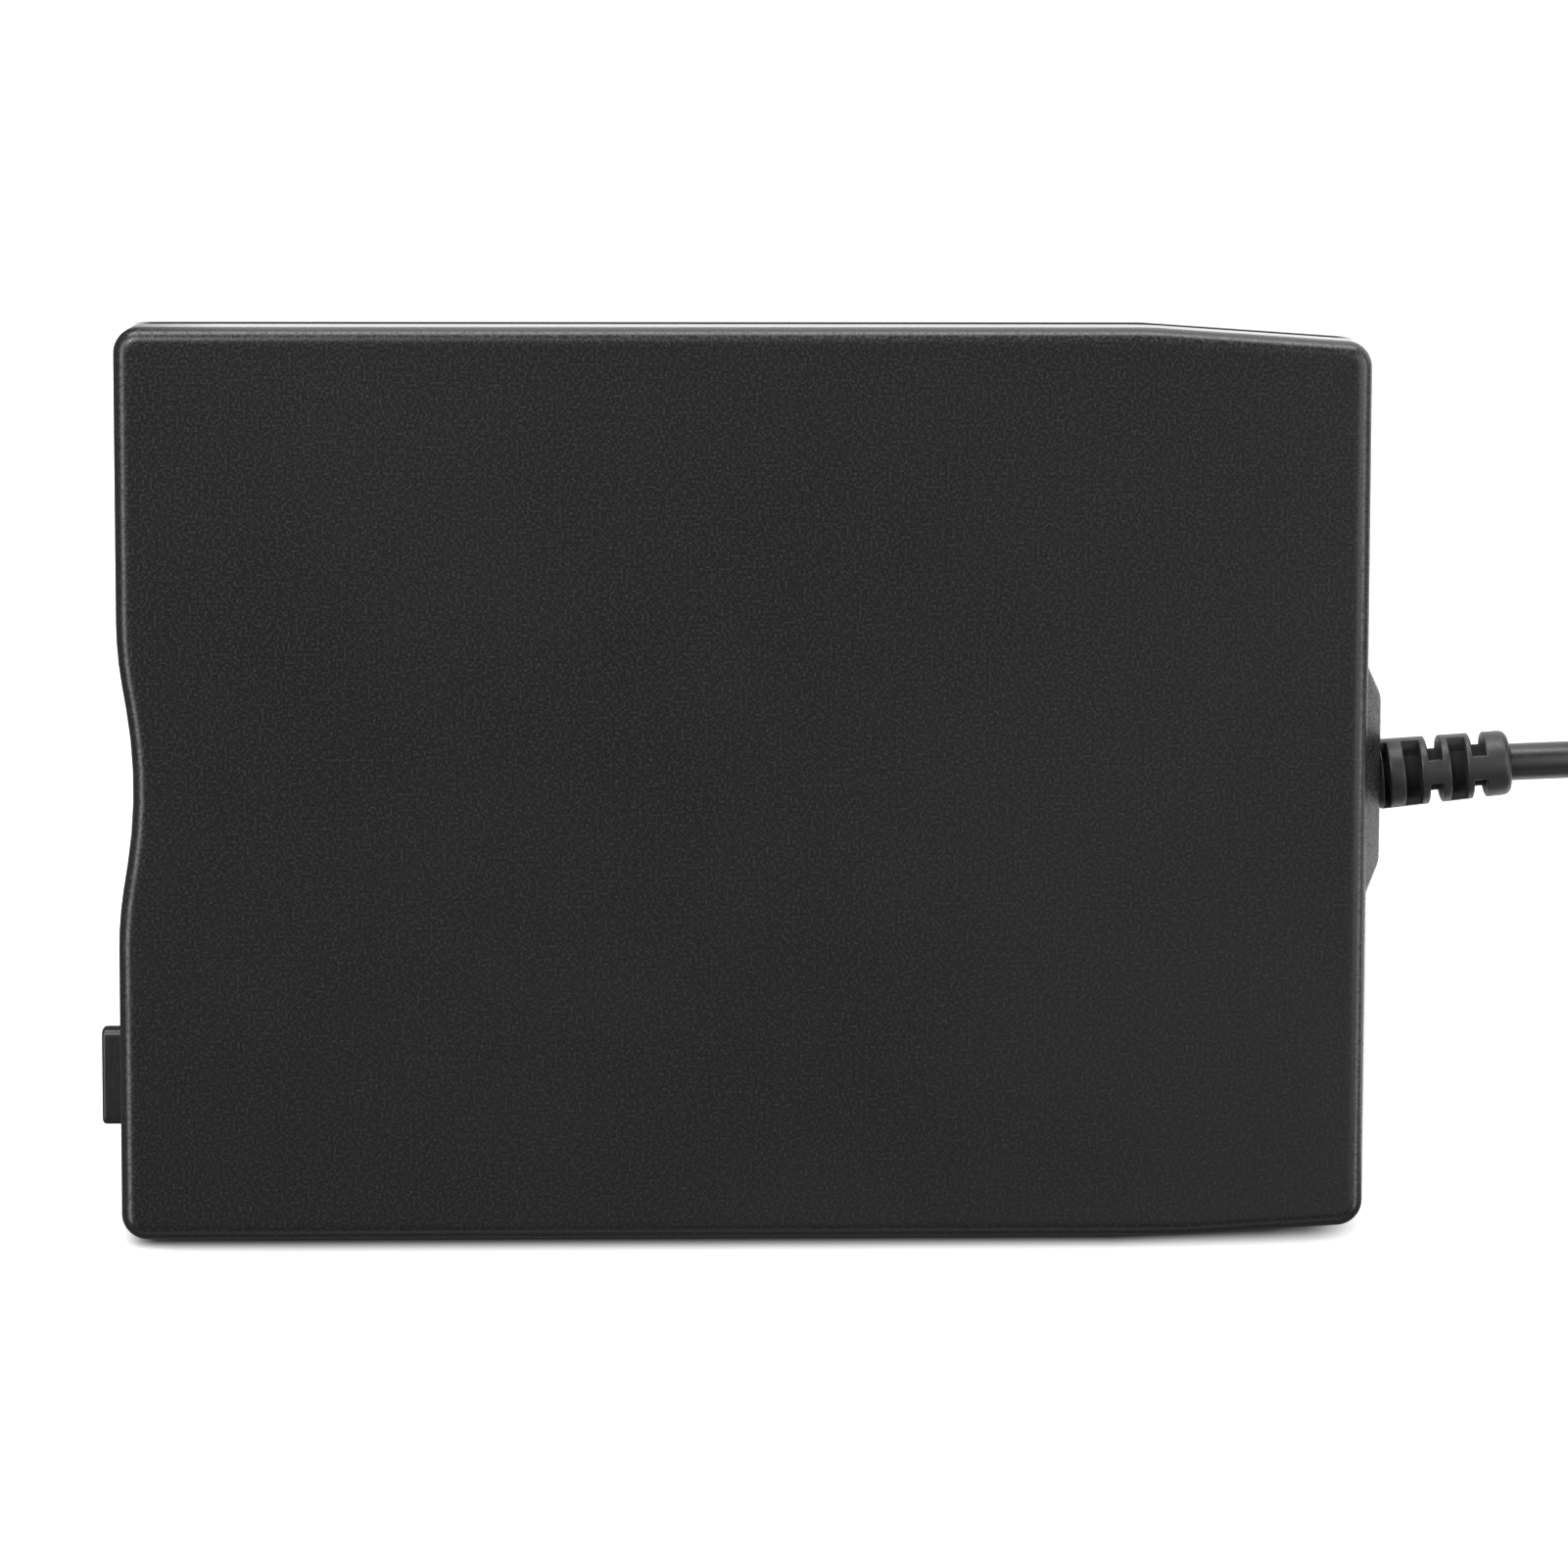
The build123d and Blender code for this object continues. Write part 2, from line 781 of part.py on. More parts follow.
with BuildPart() as chassis_tray:
    brick((-drive_width / 2, drive_width / 2), (tray_front, drive_rear), (tray_bottom, tray_floor))
    for x_range in both_sides(tray_inner, drive_width / 2):
        brick(x_range, (tray_front + drive_mouth, drive_rear), (tray_bottom, tray_top))
    brick(
        (-drive_width / 2, drive_width / 2), (drive_rear - drive_wall, drive_rear), (tray_bottom, tray_top)
    )
    for y in holder_pin_places:
        brick(
            (-drive_width / 2, drive_width / 2),
            (y - guide_half, y + guide_half),
            (pin_low - guide_half, holder_pin_height + guide_half),
            Mode.SUBTRACT,
        )
    brick(
        (ribbon_x - ribbon_slot_half, ribbon_x + ribbon_slot_half),
        (drive_rear - cut_through, drive_rear + cut_through),
        (tray_floor + ribbon_slot_bottom, tray_floor + ribbon_slot_top),
        Mode.SUBTRACT,
    )
    post(drive_collar_radius, drive_screw_places, (tray_floor, drive_collar_top))
    post(
        screw_bore,
        drive_screw_places,
        (tray_bottom - cut_through, drive_collar_top + cut_through),
        Mode.SUBTRACT,
    )
    post(board_post_radius, board_post_places, (tray_floor, drive_board_bottom))
    post(
        spring_post_radius,
        [(side * (slider_side - spring_offset), spring_post_y) for side in (1, -1)],
        (tray_floor, tray_floor + spring_post_height),
    )
save(chassis_tray.part, "chassis_tray")

with BuildPart() as top_shield:
    brick(
        (-drive_width / 2 - shield_gap - shield_thickness, drive_width / 2 + shield_gap + shield_thickness),
        (-shield_front, drive_rear),
        (tray_top, tray_top + shield_thickness),
    )
    for x_range in both_sides(drive_width / 2 + shield_gap, drive_width / 2 + shield_gap + shield_thickness):
        brick(x_range, (-shield_front, drive_rear), (tray_top - shield_flange, tray_top))
save(top_shield.part, "top_shield")

with BuildPart() as disk_holder:
    brick((-holder_side, holder_side), (-holder_front, holder_rear), (holder_bottom, holder_top))
    brick(
        (holder_sheet - holder_side, holder_side - holder_sheet),
        (-case_length, case_length),
        (holder_bottom + holder_lip, holder_top - holder_roof),
        Mode.SUBTRACT,
    )
    brick(
        (holder_lip_width - holder_side, holder_side - holder_lip_width),
        (-case_length, case_length),
        (0, holder_bottom + holder_lip),
        Mode.SUBTRACT,
    )
    brick(
        (-holder_window_width / 2, holder_window_width / 2),
        (holder_window_front, case_length),
        (holder_bottom, case_top),
        Mode.SUBTRACT,
    )
    for x_range in both_sides(holder_side, drive_width / 2):
        rod_along_x(holder_pin_radius, [(y, holder_pin_height) for y in holder_pin_places], x_range)
save(disk_holder.part, "disk_holder")

with BuildPart() as eject_slider:
    brick(
        (-slider_side, slider_side),
        (-slider_front, slider_strip - slider_front),
        (slider_bottom, slider_bottom + slider_sheet),
    )
    for x_range in both_sides(slider_side - slider_sheet, slider_side):
        brick(x_range, (-slider_front, slider_rear), (slider_bottom, slider_top))
    with BuildSketch(Plane.YZ.offset(-case_width)):
        for y in holder_pin_places:
            with BuildLine():
                Polyline(
                    (y, holder_pin_height + guide_half),
                    (y - guide_half, holder_pin_height + guide_half),
                    (y - guide_half, holder_pin_height - guide_half),
                    (y + slider_travel, pin_low - guide_half),
                    (y + slider_travel + guide_half, pin_low - guide_half),
                    (y + slider_travel + guide_half, pin_low + guide_half),
                    close=True,
                )
            make_face()
    extrude(amount=2 * case_width, mode=Mode.SUBTRACT)
    brick(
        (button_middle_x - slider_tab_width / 2, button_middle_x + slider_tab_width / 2),
        (slider_tab_y, slider_tab_y + slider_sheet),
        (slider_bottom, button_z[1]),
    )
    brick(
        (button_middle_x - slider_tab_width / 2, button_middle_x + slider_tab_width / 2),
        (slider_tab_y, -slider_front),
        (slider_bottom, slider_bottom + slider_sheet),
    )
    for x_range in both_sides(slider_side - spring_offset - spring_coil_radius, slider_side):
        brick(
            x_range,
            (spring_hook_y, spring_hook_y + slider_sheet),
            (slider_bottom, slider_bottom + spring_hook_height),
        )
save(eject_slider.part, "eject_slider")

spring_start = spring_post_y + spring_post_radius
spring_end = spring_hook_y
with BuildPart() as slider_springs:
    for side in (1, -1):
        x = side * (slider_side - spring_offset)
        z = slider_bottom + spring_hook_height / 2
        with BuildLine() as coil_path:
            Helix(
                pitch=(spring_end - spring_start - 2 * spring_wire_radius) / spring_turns,
                height=spring_end - spring_start - 2 * spring_wire_radius,
                radius=spring_coil_radius,
                center=(x, spring_start + spring_wire_radius, z),
                direction=(0, 1, 0),
            )
        with BuildSketch(Plane(coil_path.line @ 0, z_dir=coil_path.line % 0)):
            Circle(spring_wire_radius)
        sweep(path=coil_path.line, is_frenet=True)
save(slider_springs.part, "slider_springs")


# ---------------------------------------------------------------------------------------------------------
# Spindle motor
# ---------------------------------------------------------------------------------------------------------

spindle = [(0, spindle_y)]
bearing_top = motor_board_top + bearing_height
shaft_bottom = tray_floor + shaft_end_gap
magnet_outer_radius = rotor_radius - rotor_rim - magnet_outer_gap

with BuildPart() as motor_board:
    brick(
        (-motor_board_width / 2, motor_board_width / 2),
        (spindle_y - motor_board_length / 2, spindle_y + motor_board_length / 2),
        (tray_floor, motor_board_top),
    )
    fillet(motor_board.edges().filter_by(Axis.Z), corner_radius)
    post(
        shaft_radius + shaft_clearance,
        spindle,
        (tray_floor - cut_through, motor_board_top + cut_through),
        Mode.SUBTRACT,
    )
save(motor_board.part, "motor_board")

with BuildPart() as stator_coils:
    with BuildSketch(Plane.XY.offset(motor_board_top)):
        with Locations((0, spindle_y)):
            with PolarLocations(coil_ring_radius, coil_count):
                Circle(coil_radius)
                Circle(coil_bore, mode=Mode.SUBTRACT)
    extrude(amount=coil_height)
save(stator_coils.part, "stator_coils")

with BuildPart() as spindle_bearing:
    post(bearing_radius, spindle, (motor_board_top, bearing_top))
    post(shaft_radius + shaft_clearance, spindle, (motor_board_top, bearing_top), Mode.SUBTRACT)
save(spindle_bearing.part, "spindle_bearing")

with BuildPart() as spindle_shaft:
    post(shaft_radius, spindle, (shaft_bottom, chuck_top + shaft_stand_out))
    chamfer(spindle_shaft.faces().sort_by(Axis.Z)[-1].edges(), shaft_radius / 4)
save(spindle_shaft.part, "spindle_shaft")

with BuildPart() as rotor:
    post(rotor_radius, spindle, (rotor_bottom - rotor_rim_depth, rotor_top))
    post(rotor_radius - rotor_rim, spindle, (rotor_bottom - rotor_rim_depth, rotor_bottom), Mode.SUBTRACT)
    post(shaft_radius, spindle, (0, case_top), Mode.SUBTRACT)
save(rotor.part, "rotor")

with BuildPart() as rotor_magnet:
    post(magnet_outer_radius, spindle, (rotor_bottom - rotor_rim_depth, rotor_bottom))
    post(magnet_inner_radius, spindle, (rotor_bottom - rotor_rim_depth, rotor_bottom), Mode.SUBTRACT)
save(rotor_magnet.part, "rotor_magnet")

with BuildPart() as chuck_hub:
    post(chuck_radius, spindle, (rotor_top, chuck_top))
    chamfer(chuck_hub.faces().sort_by(Axis.Z)[-1].edges(), chuck_height / 3)
    post(shaft_radius, spindle, (0, case_top), Mode.SUBTRACT)
save(chuck_hub.part, "chuck_hub")

with BuildPart() as drive_pin:
    post(drive_pin_radius, [(drive_pin_ring, spindle_y)], (chuck_top, chuck_top + drive_pin_height))
    chamfer(drive_pin.faces().sort_by(Axis.Z)[-1].edges(), drive_pin_radius / 4)
save(drive_pin.part, "drive_pin")

# ---------------------------------------------------------------------------------------------------------
# Head carriage, rods, lead screw and stepping motor
# ---------------------------------------------------------------------------------------------------------

rod_places = [(side * rod_spacing / 2, rod_height) for side in (1, -1)]
rod_rear = drive_rear - drive_wall
carriage_rear = carriage_front + carriage_length
sensor_front = carriage_rear + sensor_clearance
arm_hinge_z = arm_bottom - arm_pin_radius - arm_pin_drop
screw_place = [(screw_x, screw_height)]
screw_bearing_rear = screw_front - screw_bearing_gap
follower_y = stepper_front - stepper_collar - 2 * follower_gap - follower_length
screw_rear = stepper_front + screw_seat

with BuildPart() as head_carriage:
    brick(
        (-carriage_width / 2, carriage_width / 2),
        (carriage_front, carriage_rear),
        (carriage_bottom, carriage_top),
    )
    brick(
        (-carriage_arm_width / 2, carriage_arm_width / 2),
        (head_y - head_length / 2 - carriage_nose, carriage_front),
        (carriage_bottom, carriage_top),
    )
    brick(
        (-carriage_block_width / 2, carriage_block_width / 2),
        (arm_hinge_y - carriage_block_length / 2, arm_hinge_y + carriage_block_length / 2),
        (carriage_bottom, carriage_block_top),
    )
    for x_range in both_sides(arm_width / 2 + arm_ear_gap, carriage_block_width / 2):
        brick(
            x_range,
            (arm_hinge_y - arm_ear_half, arm_hinge_y + arm_ear_half),
            (carriage_block_top, arm_hinge_z + arm_pin_radius + arm_ear_above),
        )
    rod_along_x(
        arm_pin_radius,
        [(arm_hinge_y, arm_hinge_z)],
        (-carriage_block_width / 2, carriage_block_width / 2),
        Mode.SUBTRACT,
    )
    rod_along_y(rod_boss_radius, rod_places, (carriage_front, carriage_rear))
    rod_along_y(rod_radius + rod_clearance, rod_places, (0, case_length), Mode.SUBTRACT)
    brick(
        (carriage_width / 2 - follower_root, screw_x + follower_end),
        (follower_y, follower_y + follower_length),
        (carriage_bottom, screw_height - screw_radius - follower_gap),
    )
    brick(
        (sensor_x - flag_thickness / 2, sensor_x + flag_thickness / 2),
        (carriage_rear, carriage_rear + sensor_length),
        (carriage_bottom, carriage_top),
    )
save(head_carriage.part, "head_carriage")

with BuildPart() as arm_pin:
    rod_along_x(
        arm_pin_radius,
        [(arm_hinge_y, arm_hinge_z)],
        (-carriage_block_width / 2, carriage_block_width / 2),
    )
save(arm_pin.part, "arm_pin")

with BuildPart() as head_arm:
    brick(
        (-arm_width / 2, arm_width / 2),
        (head_y - head_length / 2 - arm_ear_thickness, arm_hinge_y + arm_tail),
        (arm_bottom, arm_bottom + arm_thickness),
    )
    for x_range in both_sides(arm_width / 2 - arm_ear_thickness, arm_width / 2):
        brick(
            x_range,
            (arm_hinge_y - arm_tail, arm_hinge_y + arm_tail),
            (arm_hinge_z - arm_tail_drop, arm_bottom + arm_thickness),
        )
    rod_along_x(
        arm_pin_radius + arm_pin_clearance,
        [(arm_hinge_y, arm_hinge_z)],
        (-arm_width, arm_width),
        Mode.SUBTRACT,
    )
save(head_arm.part, "head_arm")

with BuildPart() as lower_head:
    brick(
        (-head_width / 2, head_width / 2),
        (head_y - head_length / 2, head_y + head_length / 2),
        (carriage_top, lower_head_top),
    )
    chamfer(lower_head.faces().sort_by(Axis.Z)[-1].edges(), head_width / 10)
save(lower_head.part, "lower_head")

with BuildPart() as upper_head:
    brick(
        (-head_width / 2, head_width / 2),
        (head_y - head_length / 2, head_y + head_length / 2),
        (arm_bottom - upper_head_height, arm_bottom),
    )
save(upper_head.part, "upper_head")

with BuildPart() as guide_rods:
    rod_along_y(rod_radius, rod_places, (rod_front, rod_rear))
save(guide_rods.part, "guide_rods")

with BuildPart() as rod_clamps:
    for side in (1, -1):
        x = side * rod_spacing / 2
        for y_range in ((rod_front, rod_front + clamp_length), (rod_rear - clamp_length, rod_rear)):
            brick(
                (x - clamp_width / 2, x + clamp_width / 2),
                y_range,
                (tray_floor, rod_height + rod_radius + clamp_above),
            )
    rod_along_y(rod_radius, rod_places, (0, case_length), Mode.SUBTRACT)
save(rod_clamps.part, "rod_clamps")

with BuildPart() as lead_screw:
    rod_along_y(screw_radius, screw_place, (screw_front, screw_rear))
    rod_along_y(screw_stub_radius, screw_place, (screw_front - screw_bearing_length, screw_front))
    with BuildLine() as groove_path:
        Helix(
            pitch=screw_lead,
            height=screw_rear - screw_front - screw_groove_spare,
            radius=screw_radius,
            center=(screw_x, screw_front + screw_groove_start, screw_height),
            direction=(0, 1, 0),
        )
    with BuildSketch(Plane(groove_path.line @ 0, z_dir=groove_path.line % 0)):
        Circle(screw_radius / 3)
    sweep(path=groove_path.line, is_frenet=True, mode=Mode.SUBTRACT)
save(lead_screw.part, "lead_screw")

with BuildPart() as screw_bearing:
    brick(
        (screw_x - screw_bearing_width / 2, screw_x + screw_bearing_width / 2),
        (screw_bearing_rear - screw_bearing_length, screw_bearing_rear),
        (tray_floor, screw_height + screw_bearing_above),
    )
    rod_along_y(screw_stub_radius + shaft_clearance, screw_place, (0, case_length), Mode.SUBTRACT)
save(screw_bearing.part, "screw_bearing")

with BuildPart() as stepper_motor:
    rod_along_y(stepper_radius, screw_place, (stepper_front, drive_rear - drive_wall))
    rod_along_y(stepper_collar_radius, screw_place, (stepper_front - stepper_collar, stepper_front))
    rod_along_y(
        screw_radius + shaft_clearance,
        screw_place,
        (stepper_front - 2 * cut_through, screw_rear + screw_seat_gap),
        Mode.SUBTRACT,
    )
save(stepper_motor.part, "stepper_motor")

with BuildPart() as track_sensor:
    brick(
        (sensor_x - sensor_width / 2, sensor_x + sensor_width / 2),
        (sensor_front, sensor_front + sensor_length),
        (tray_floor, tray_floor + sensor_height),
    )
    brick(
        (sensor_x - sensor_gap / 2, sensor_x + sensor_gap / 2),
        (0, case_length),
        (carriage_bottom - sensor_step, case_top),
        Mode.SUBTRACT,
    )
save(track_sensor.part, "track_sensor")

flex_start = -carriage_block_width / 2 - flex_set_back
flex_bridge = rod_height + rod_boss_radius + flex_lift
flex_points = [
    (flex_start, carriage_top),
    (flex_start - flex_land, carriage_top),
    (rod_boss_radius - rod_spacing / 2 - flex_lift, flex_bridge),
    (-rod_boss_radius - rod_spacing / 2, flex_bridge),
    (-board_arm_inner - flex_foot, drive_board_top),
    (-board_arm_inner - flex_foot - flex_foot_length, drive_board_top),
]
with BuildPart() as head_flex:
    with BuildSketch(Plane.XZ.offset(-carriage_front - flex_set_back)):
        with BuildLine():
            Polyline(*flex_points, *[(x, z + flex_thickness) for x, z in reversed(flex_points)], close=True)
        make_face()
    extrude(amount=-flex_width)
save(head_flex.part, "head_flex")

# ---------------------------------------------------------------------------------------------------------
# Release lever
# ---------------------------------------------------------------------------------------------------------

lever_place = [(lever_x, lever_y)]
lever_direction = Vector(cos(radians(lever_angle)), sin(radians(lever_angle)))
lever_tip = Vector(lever_x, lever_y) + lever_direction * lever_length
lever_pin_bottom = holder_bottom + holder_lip - holder_drop + lever_pin_low_gap
lever_pin_top = holder_top - holder_roof - holder_drop - lever_pin_high_gap
post_shoulder = lever_height - lever_post_gap
lever_spring_height = lever_spring_turns * lever_spring_pitch

with BuildPart() as release_lever:
    with BuildSketch(Plane.XY.offset(lever_height)):
        with Locations((lever_x, lever_y)):
            Circle(lever_hub_radius)
        with Locations(Location((lever_x, lever_y, 0), (0, 0, lever_angle))):
            Rectangle(lever_length, lever_width, align=(Align.MIN, Align.CENTER))
        with Locations((lever_tip.X, lever_tip.Y)):
            Circle(lever_width / 2)
        with Locations((lever_x, lever_y)):
            Circle(lever_post_radius + lever_post_clearance, mode=Mode.SUBTRACT)
    extrude(amount=lever_sheet)
    post(lever_tip_radius, [(lever_tip.X, lever_tip.Y)], (lever_pin_bottom, lever_pin_top))
save(release_lever.part, "release_lever")

with BuildPart() as lever_post:
    post(lever_post_radius + lever_post_shoulder, lever_place, (tray_floor, post_shoulder))
    post(lever_post_radius, lever_place, (post_shoulder, lever_height + lever_sheet + lever_post_above))
save(lever_post.part, "lever_post")

with BuildPart() as lever_spring:
    with BuildLine() as lever_coil:
        Helix(
            pitch=3 * spring_wire_radius,
            height=lever_spring_height,
            radius=lever_post_radius + lever_post_shoulder + lever_spring_gap + spring_wire_radius,
            center=(lever_x, lever_y, post_shoulder - lever_spring_height - lever_spring_drop),
        )
    with BuildSketch(Plane(lever_coil.line @ 0, z_dir=lever_coil.line % 0)):
        Circle(spring_wire_radius)
    sweep(path=lever_coil.line, is_frenet=True)
save(lever_spring.part, "lever_spring")

# ---------------------------------------------------------------------------------------------------------
# Drive board, switches and status light
# ---------------------------------------------------------------------------------------------------------

with BuildPart() as drive_board:
    brick(
        (-board_outer, -drive_board_inner),
        (drive_board_front, drive_board_rear),
        (drive_board_bottom, drive_board_top),
    )
    brick(
        (-board_outer, -board_arm_inner),
        (board_arm_front, drive_board_rear),
        (drive_board_bottom, drive_board_top),
    )
    brick(
        (-board_arm_outer, -board_arm_inner),
        (board_arm_front, board_arm_rear),
        (drive_board_bottom, drive_board_top),
    )
save(drive_board.part, "drive_board")

board_middle = -(board_outer + drive_board_inner) / 2
regulator_y = drive_board_front + regulator_from_front
chips = (
    (board_middle, drive_board_rear - controller_from_rear, controller_size, controller_size),
    (board_middle, drive_board_front + driver_from_front, driver_size, driver_size),
    (board_middle + regulator_offset, regulator_y, regulator_width, regulator_length),
    (board_middle - regulator_offset, regulator_y, regulator_width, regulator_length),
    (-board_arm_middle, board_arm_front + amplifier_from_front, amplifier_width, amplifier_length),
)
with BuildPart() as drive_chips:
    with BuildSketch(Plane.XY.offset(drive_board_top)):
        for x, y, width, length in chips:
            with Locations((x, y)):
                Rectangle(width, length)
    extrude(amount=chip_height)
save(drive_chips.part, "drive_chips")

plunger_places = [(switch_x, switch_y + step * plunger_spacing) for step in (-1, 0, 1)]
switch_top = tray_floor + switch_height
plunger_well_bottom = tray_floor + plunger_well_floor
plunger_bottom = tray_floor + plunger_end_gap + plunger_travel
with BuildPart() as switch_block:
    brick(
        (switch_x - switch_width / 2, switch_x + switch_width / 2),
        (switch_y - switch_length / 2, switch_y + switch_length / 2),
        (tray_floor, switch_top),
    )
    post(plunger_radius + plunger_clearance, plunger_places, (plunger_well_bottom, case_top), Mode.SUBTRACT)
save(switch_block.part, "switch_block")

plunger_names = ("protect_plunger", "disk_plunger", "density_plunger")
for name, place in zip(plunger_names, plunger_places):
    with BuildPart() as plunger:
        post(plunger_radius, [place], (plunger_bottom, plunger_top))
        fillet(plunger.faces().sort_by(Axis.Z)[-1].edges(), plunger_radius / 2)
    save(plunger.part, name)

with BuildPart() as status_led:
    brick(
        (lens_x - lens_width / 2, lens_x + lens_width / 2),
        (tray_front, tray_front + light_depth),
        (tray_floor, button_middle_z + lens_height / 2),
    )
save(status_led.part, "status_led")

# ---------------------------------------------------------------------------------------------------------
# Interface board behind the drive unit
# ---------------------------------------------------------------------------------------------------------

flange_y = rear_inner - relief_neck_fit - relief_flange
usb_board_y = (drive_rear + usb_board_gap, flange_y - usb_board_flange_gap)
usb_board_middle = (usb_board_y[0] + usb_board_y[1]) / 2
usb_board_top = usb_board_height + drive_board_thickness

with BuildPart() as usb_board:
    brick((-usb_board_width / 2, usb_board_width / 2), usb_board_y, (usb_board_height, usb_board_top))
save(usb_board.part, "usb_board")

header_top = usb_board_top + header_height
header_x = (wire_count - 1) * wire_pitch / 2
with BuildPart() as usb_components:
    with Locations((usb_chip_x, usb_board_middle, usb_board_top + chip_height / 2)):
        Box(usb_chip_size, usb_chip_size, chip_height)
    with BuildSketch(Plane.XY.offset(usb_board_top)):
        with Locations((crystal_x, usb_board_middle)):
            SlotOverall(crystal_length, crystal_width)
    extrude(amount=crystal_height)
    brick(
        (-header_x - wire_pitch, header_x + wire_pitch),
        (usb_board_y[0] + header_set_back, usb_board_middle + header_set_back),
        (usb_board_top, header_top),
    )
save(usb_components.part, "usb_components")

socket_front = (board_arm_rear - socket_depth - socket_from_end, usb_board_y[0] + socket_from_front)
socket_half = ribbon_width / 2 + socket_margin
with BuildPart() as ribbon_sockets:
    for y, level in zip(socket_front, (drive_board_top, usb_board_top)):
        brick(
            (ribbon_x - socket_half, ribbon_x + socket_half),
            (y, y + socket_depth),
            (level, level + socket_height),
        )
save(ribbon_sockets.part, "ribbon_sockets")

ribbon_from = (socket_front[0] + socket_depth, drive_board_top + socket_height / 2)
ribbon_to = (socket_front[1], usb_board_top + socket_height / 2)
ribbon_top = ((ribbon_from[0] + ribbon_to[0]) / 2, max(ribbon_from[1], ribbon_to[1]) + ribbon_rise)
with BuildPart() as ffc_ribbon:
    with BuildSketch(Plane.YZ.offset(ribbon_x - ribbon_width / 2)):
        with BuildLine():
            under = ThreePointArc(ribbon_from, ribbon_top, ribbon_to)
            over = ThreePointArc(
                (ribbon_from[0], ribbon_from[1] + ribbon_thickness),
                (ribbon_top[0], ribbon_top[1] + ribbon_thickness),
                (ribbon_to[0], ribbon_to[1] + ribbon_thickness),
            )
            Line(under @ 0, over @ 0)
            Line(under @ 1, over @ 1)
        make_face()
    extrude(amount=ribbon_width)
save(ffc_ribbon.part, "ffc_ribbon")

header_y = (usb_board_y[0] + usb_board_middle) / 2 + header_set_back
with BuildPart() as cable_wires:
    for step in range(wire_count):
        offset_x = step - (wire_count - 1) / 2
        start = (exit_x + offset_x * wire_bunching * wire_radius, flange_y, seam)
        end = (offset_x * wire_pitch, header_y, header_top)
        with BuildLine() as wire_path:
            Bezier(start, (start[0], start[1] - wire_run, seam), (end[0], end[1], seam), end)
        with BuildSketch(Plane(start, z_dir=(0, -1, 0))):
            Circle(wire_radius)
        sweep(path=wire_path.line)
save(cable_wires.part, "cable_wires")

# ---------------------------------------------------------------------------------------------------------
# Door spring, fasteners and feet
# ---------------------------------------------------------------------------------------------------------

door_spring_x = lug_inner + door_lug_thickness + door_spring_end_gap
with BuildPart() as door_spring:
    with BuildLine() as door_coil:
        Helix(
            pitch=door_spring_length / door_spring_turns,
            height=door_spring_length,
            radius=door_spring_wire + door_pin_radius + door_spring_gap,
            center=(door_spring_x, door_hinge_y, door_hinge_height),
            direction=(1, 0, 0),
        )
    with BuildSketch(Plane(door_coil.line @ 0, z_dir=door_coil.line % 0)):
        Circle(door_spring_wire)
    sweep(path=door_coil.line, is_frenet=True)
save(door_spring.part, "door_spring")

with BuildPart() as case_screws:
    post(screw_head_radius, case_screw_places, (case_screw_head_top - screw_head_height, case_screw_head_top))
    post(screw_shaft_radius, case_screw_places, (case_screw_head_top, case_screw_tip))
    fillet(case_screws.faces().group_by(Axis.Z)[0].edges(), screw_head_height / 2)
    for x, y in case_screw_places:
        cross_drive(x, y, case_screw_head_top - screw_head_height)
save(case_screws.part, "case_screws")

with BuildPart() as drive_screws:
    post(screw_head_radius, drive_screw_places, (drive_screw_head_bottom, drive_screw_head_top))
    post(screw_shaft_radius, drive_screw_places, (drive_screw_head_top, drive_screw_tip))
    fillet(drive_screws.faces().group_by(Axis.Z)[0].edges(), screw_head_height / 2)
    for x, y in drive_screw_places:
        cross_drive(x, y, drive_screw_head_bottom)
save(drive_screws.part, "drive_screws")

with BuildPart() as rubber_feet:
    post(foot_radius, foot_places, (0, case_bottom + foot_recess))
    fillet(rubber_feet.faces().group_by(Axis.Z)[0].edges(), foot_height / 3)
save(rubber_feet.part, "rubber_feet")

# ---------------------------------------------------------------------------------------------------------
# Strain relief: a tapered sleeve with slots cut alternately from above and below and from both sides
# ---------------------------------------------------------------------------------------------------------

relief_axis = Vector(-sin(radians(relief_tilt)), cos(radians(relief_tilt)), 0)
relief_root = Vector(exit_x, boss_face + relief_root_radius * sin(radians(relief_tilt)), seam)
relief_tip = relief_root + relief_axis * relief_length
relief_plane = Plane(relief_root, x_dir=relief_axis.cross(Vector(0, 0, 1)), z_dir=relief_axis)
relief_slots = (
    (0.1, 0.8, "upper"),
    (2.7, 4.5, "upper"),
    (5.5, 6.95, "side"),
    (8.0, 9.8, "upper"),
    (10.6, 12.05, "side"),
)

with BuildPart() as relief_cutter:
    for start, end, cut_from in relief_slots:
        with BuildSketch(relief_plane.offset(start)):
            Circle(2 * relief_root_radius)
            Circle(relief_core_radius, mode=Mode.SUBTRACT)
            if cut_from == "upper":
                Rectangle(4 * relief_root_radius, relief_web, mode=Mode.SUBTRACT)
            else:
                Rectangle(relief_web, 4 * relief_root_radius, mode=Mode.SUBTRACT)
        extrude(amount=end - start)

with BuildPart() as strain_relief:
    with BuildSketch(relief_plane):
        Circle(relief_root_radius)
    with BuildSketch(relief_plane.offset(relief_length)):
        Circle(relief_tip_radius)
    loft()
    fillet(strain_relief.faces().sort_by(Axis.Y)[-1].edges(), relief_tip_round)
    add(relief_cutter.part, mode=Mode.SUBTRACT)
    rod_along_y(relief_neck_radius, exit_place, (flange_y + relief_flange, 2 * relief_root.Y - boss_face))
    rod_along_y(relief_flange_radius, exit_place, (flange_y, flange_y + relief_flange))
save(strain_relief.part, "strain_relief")

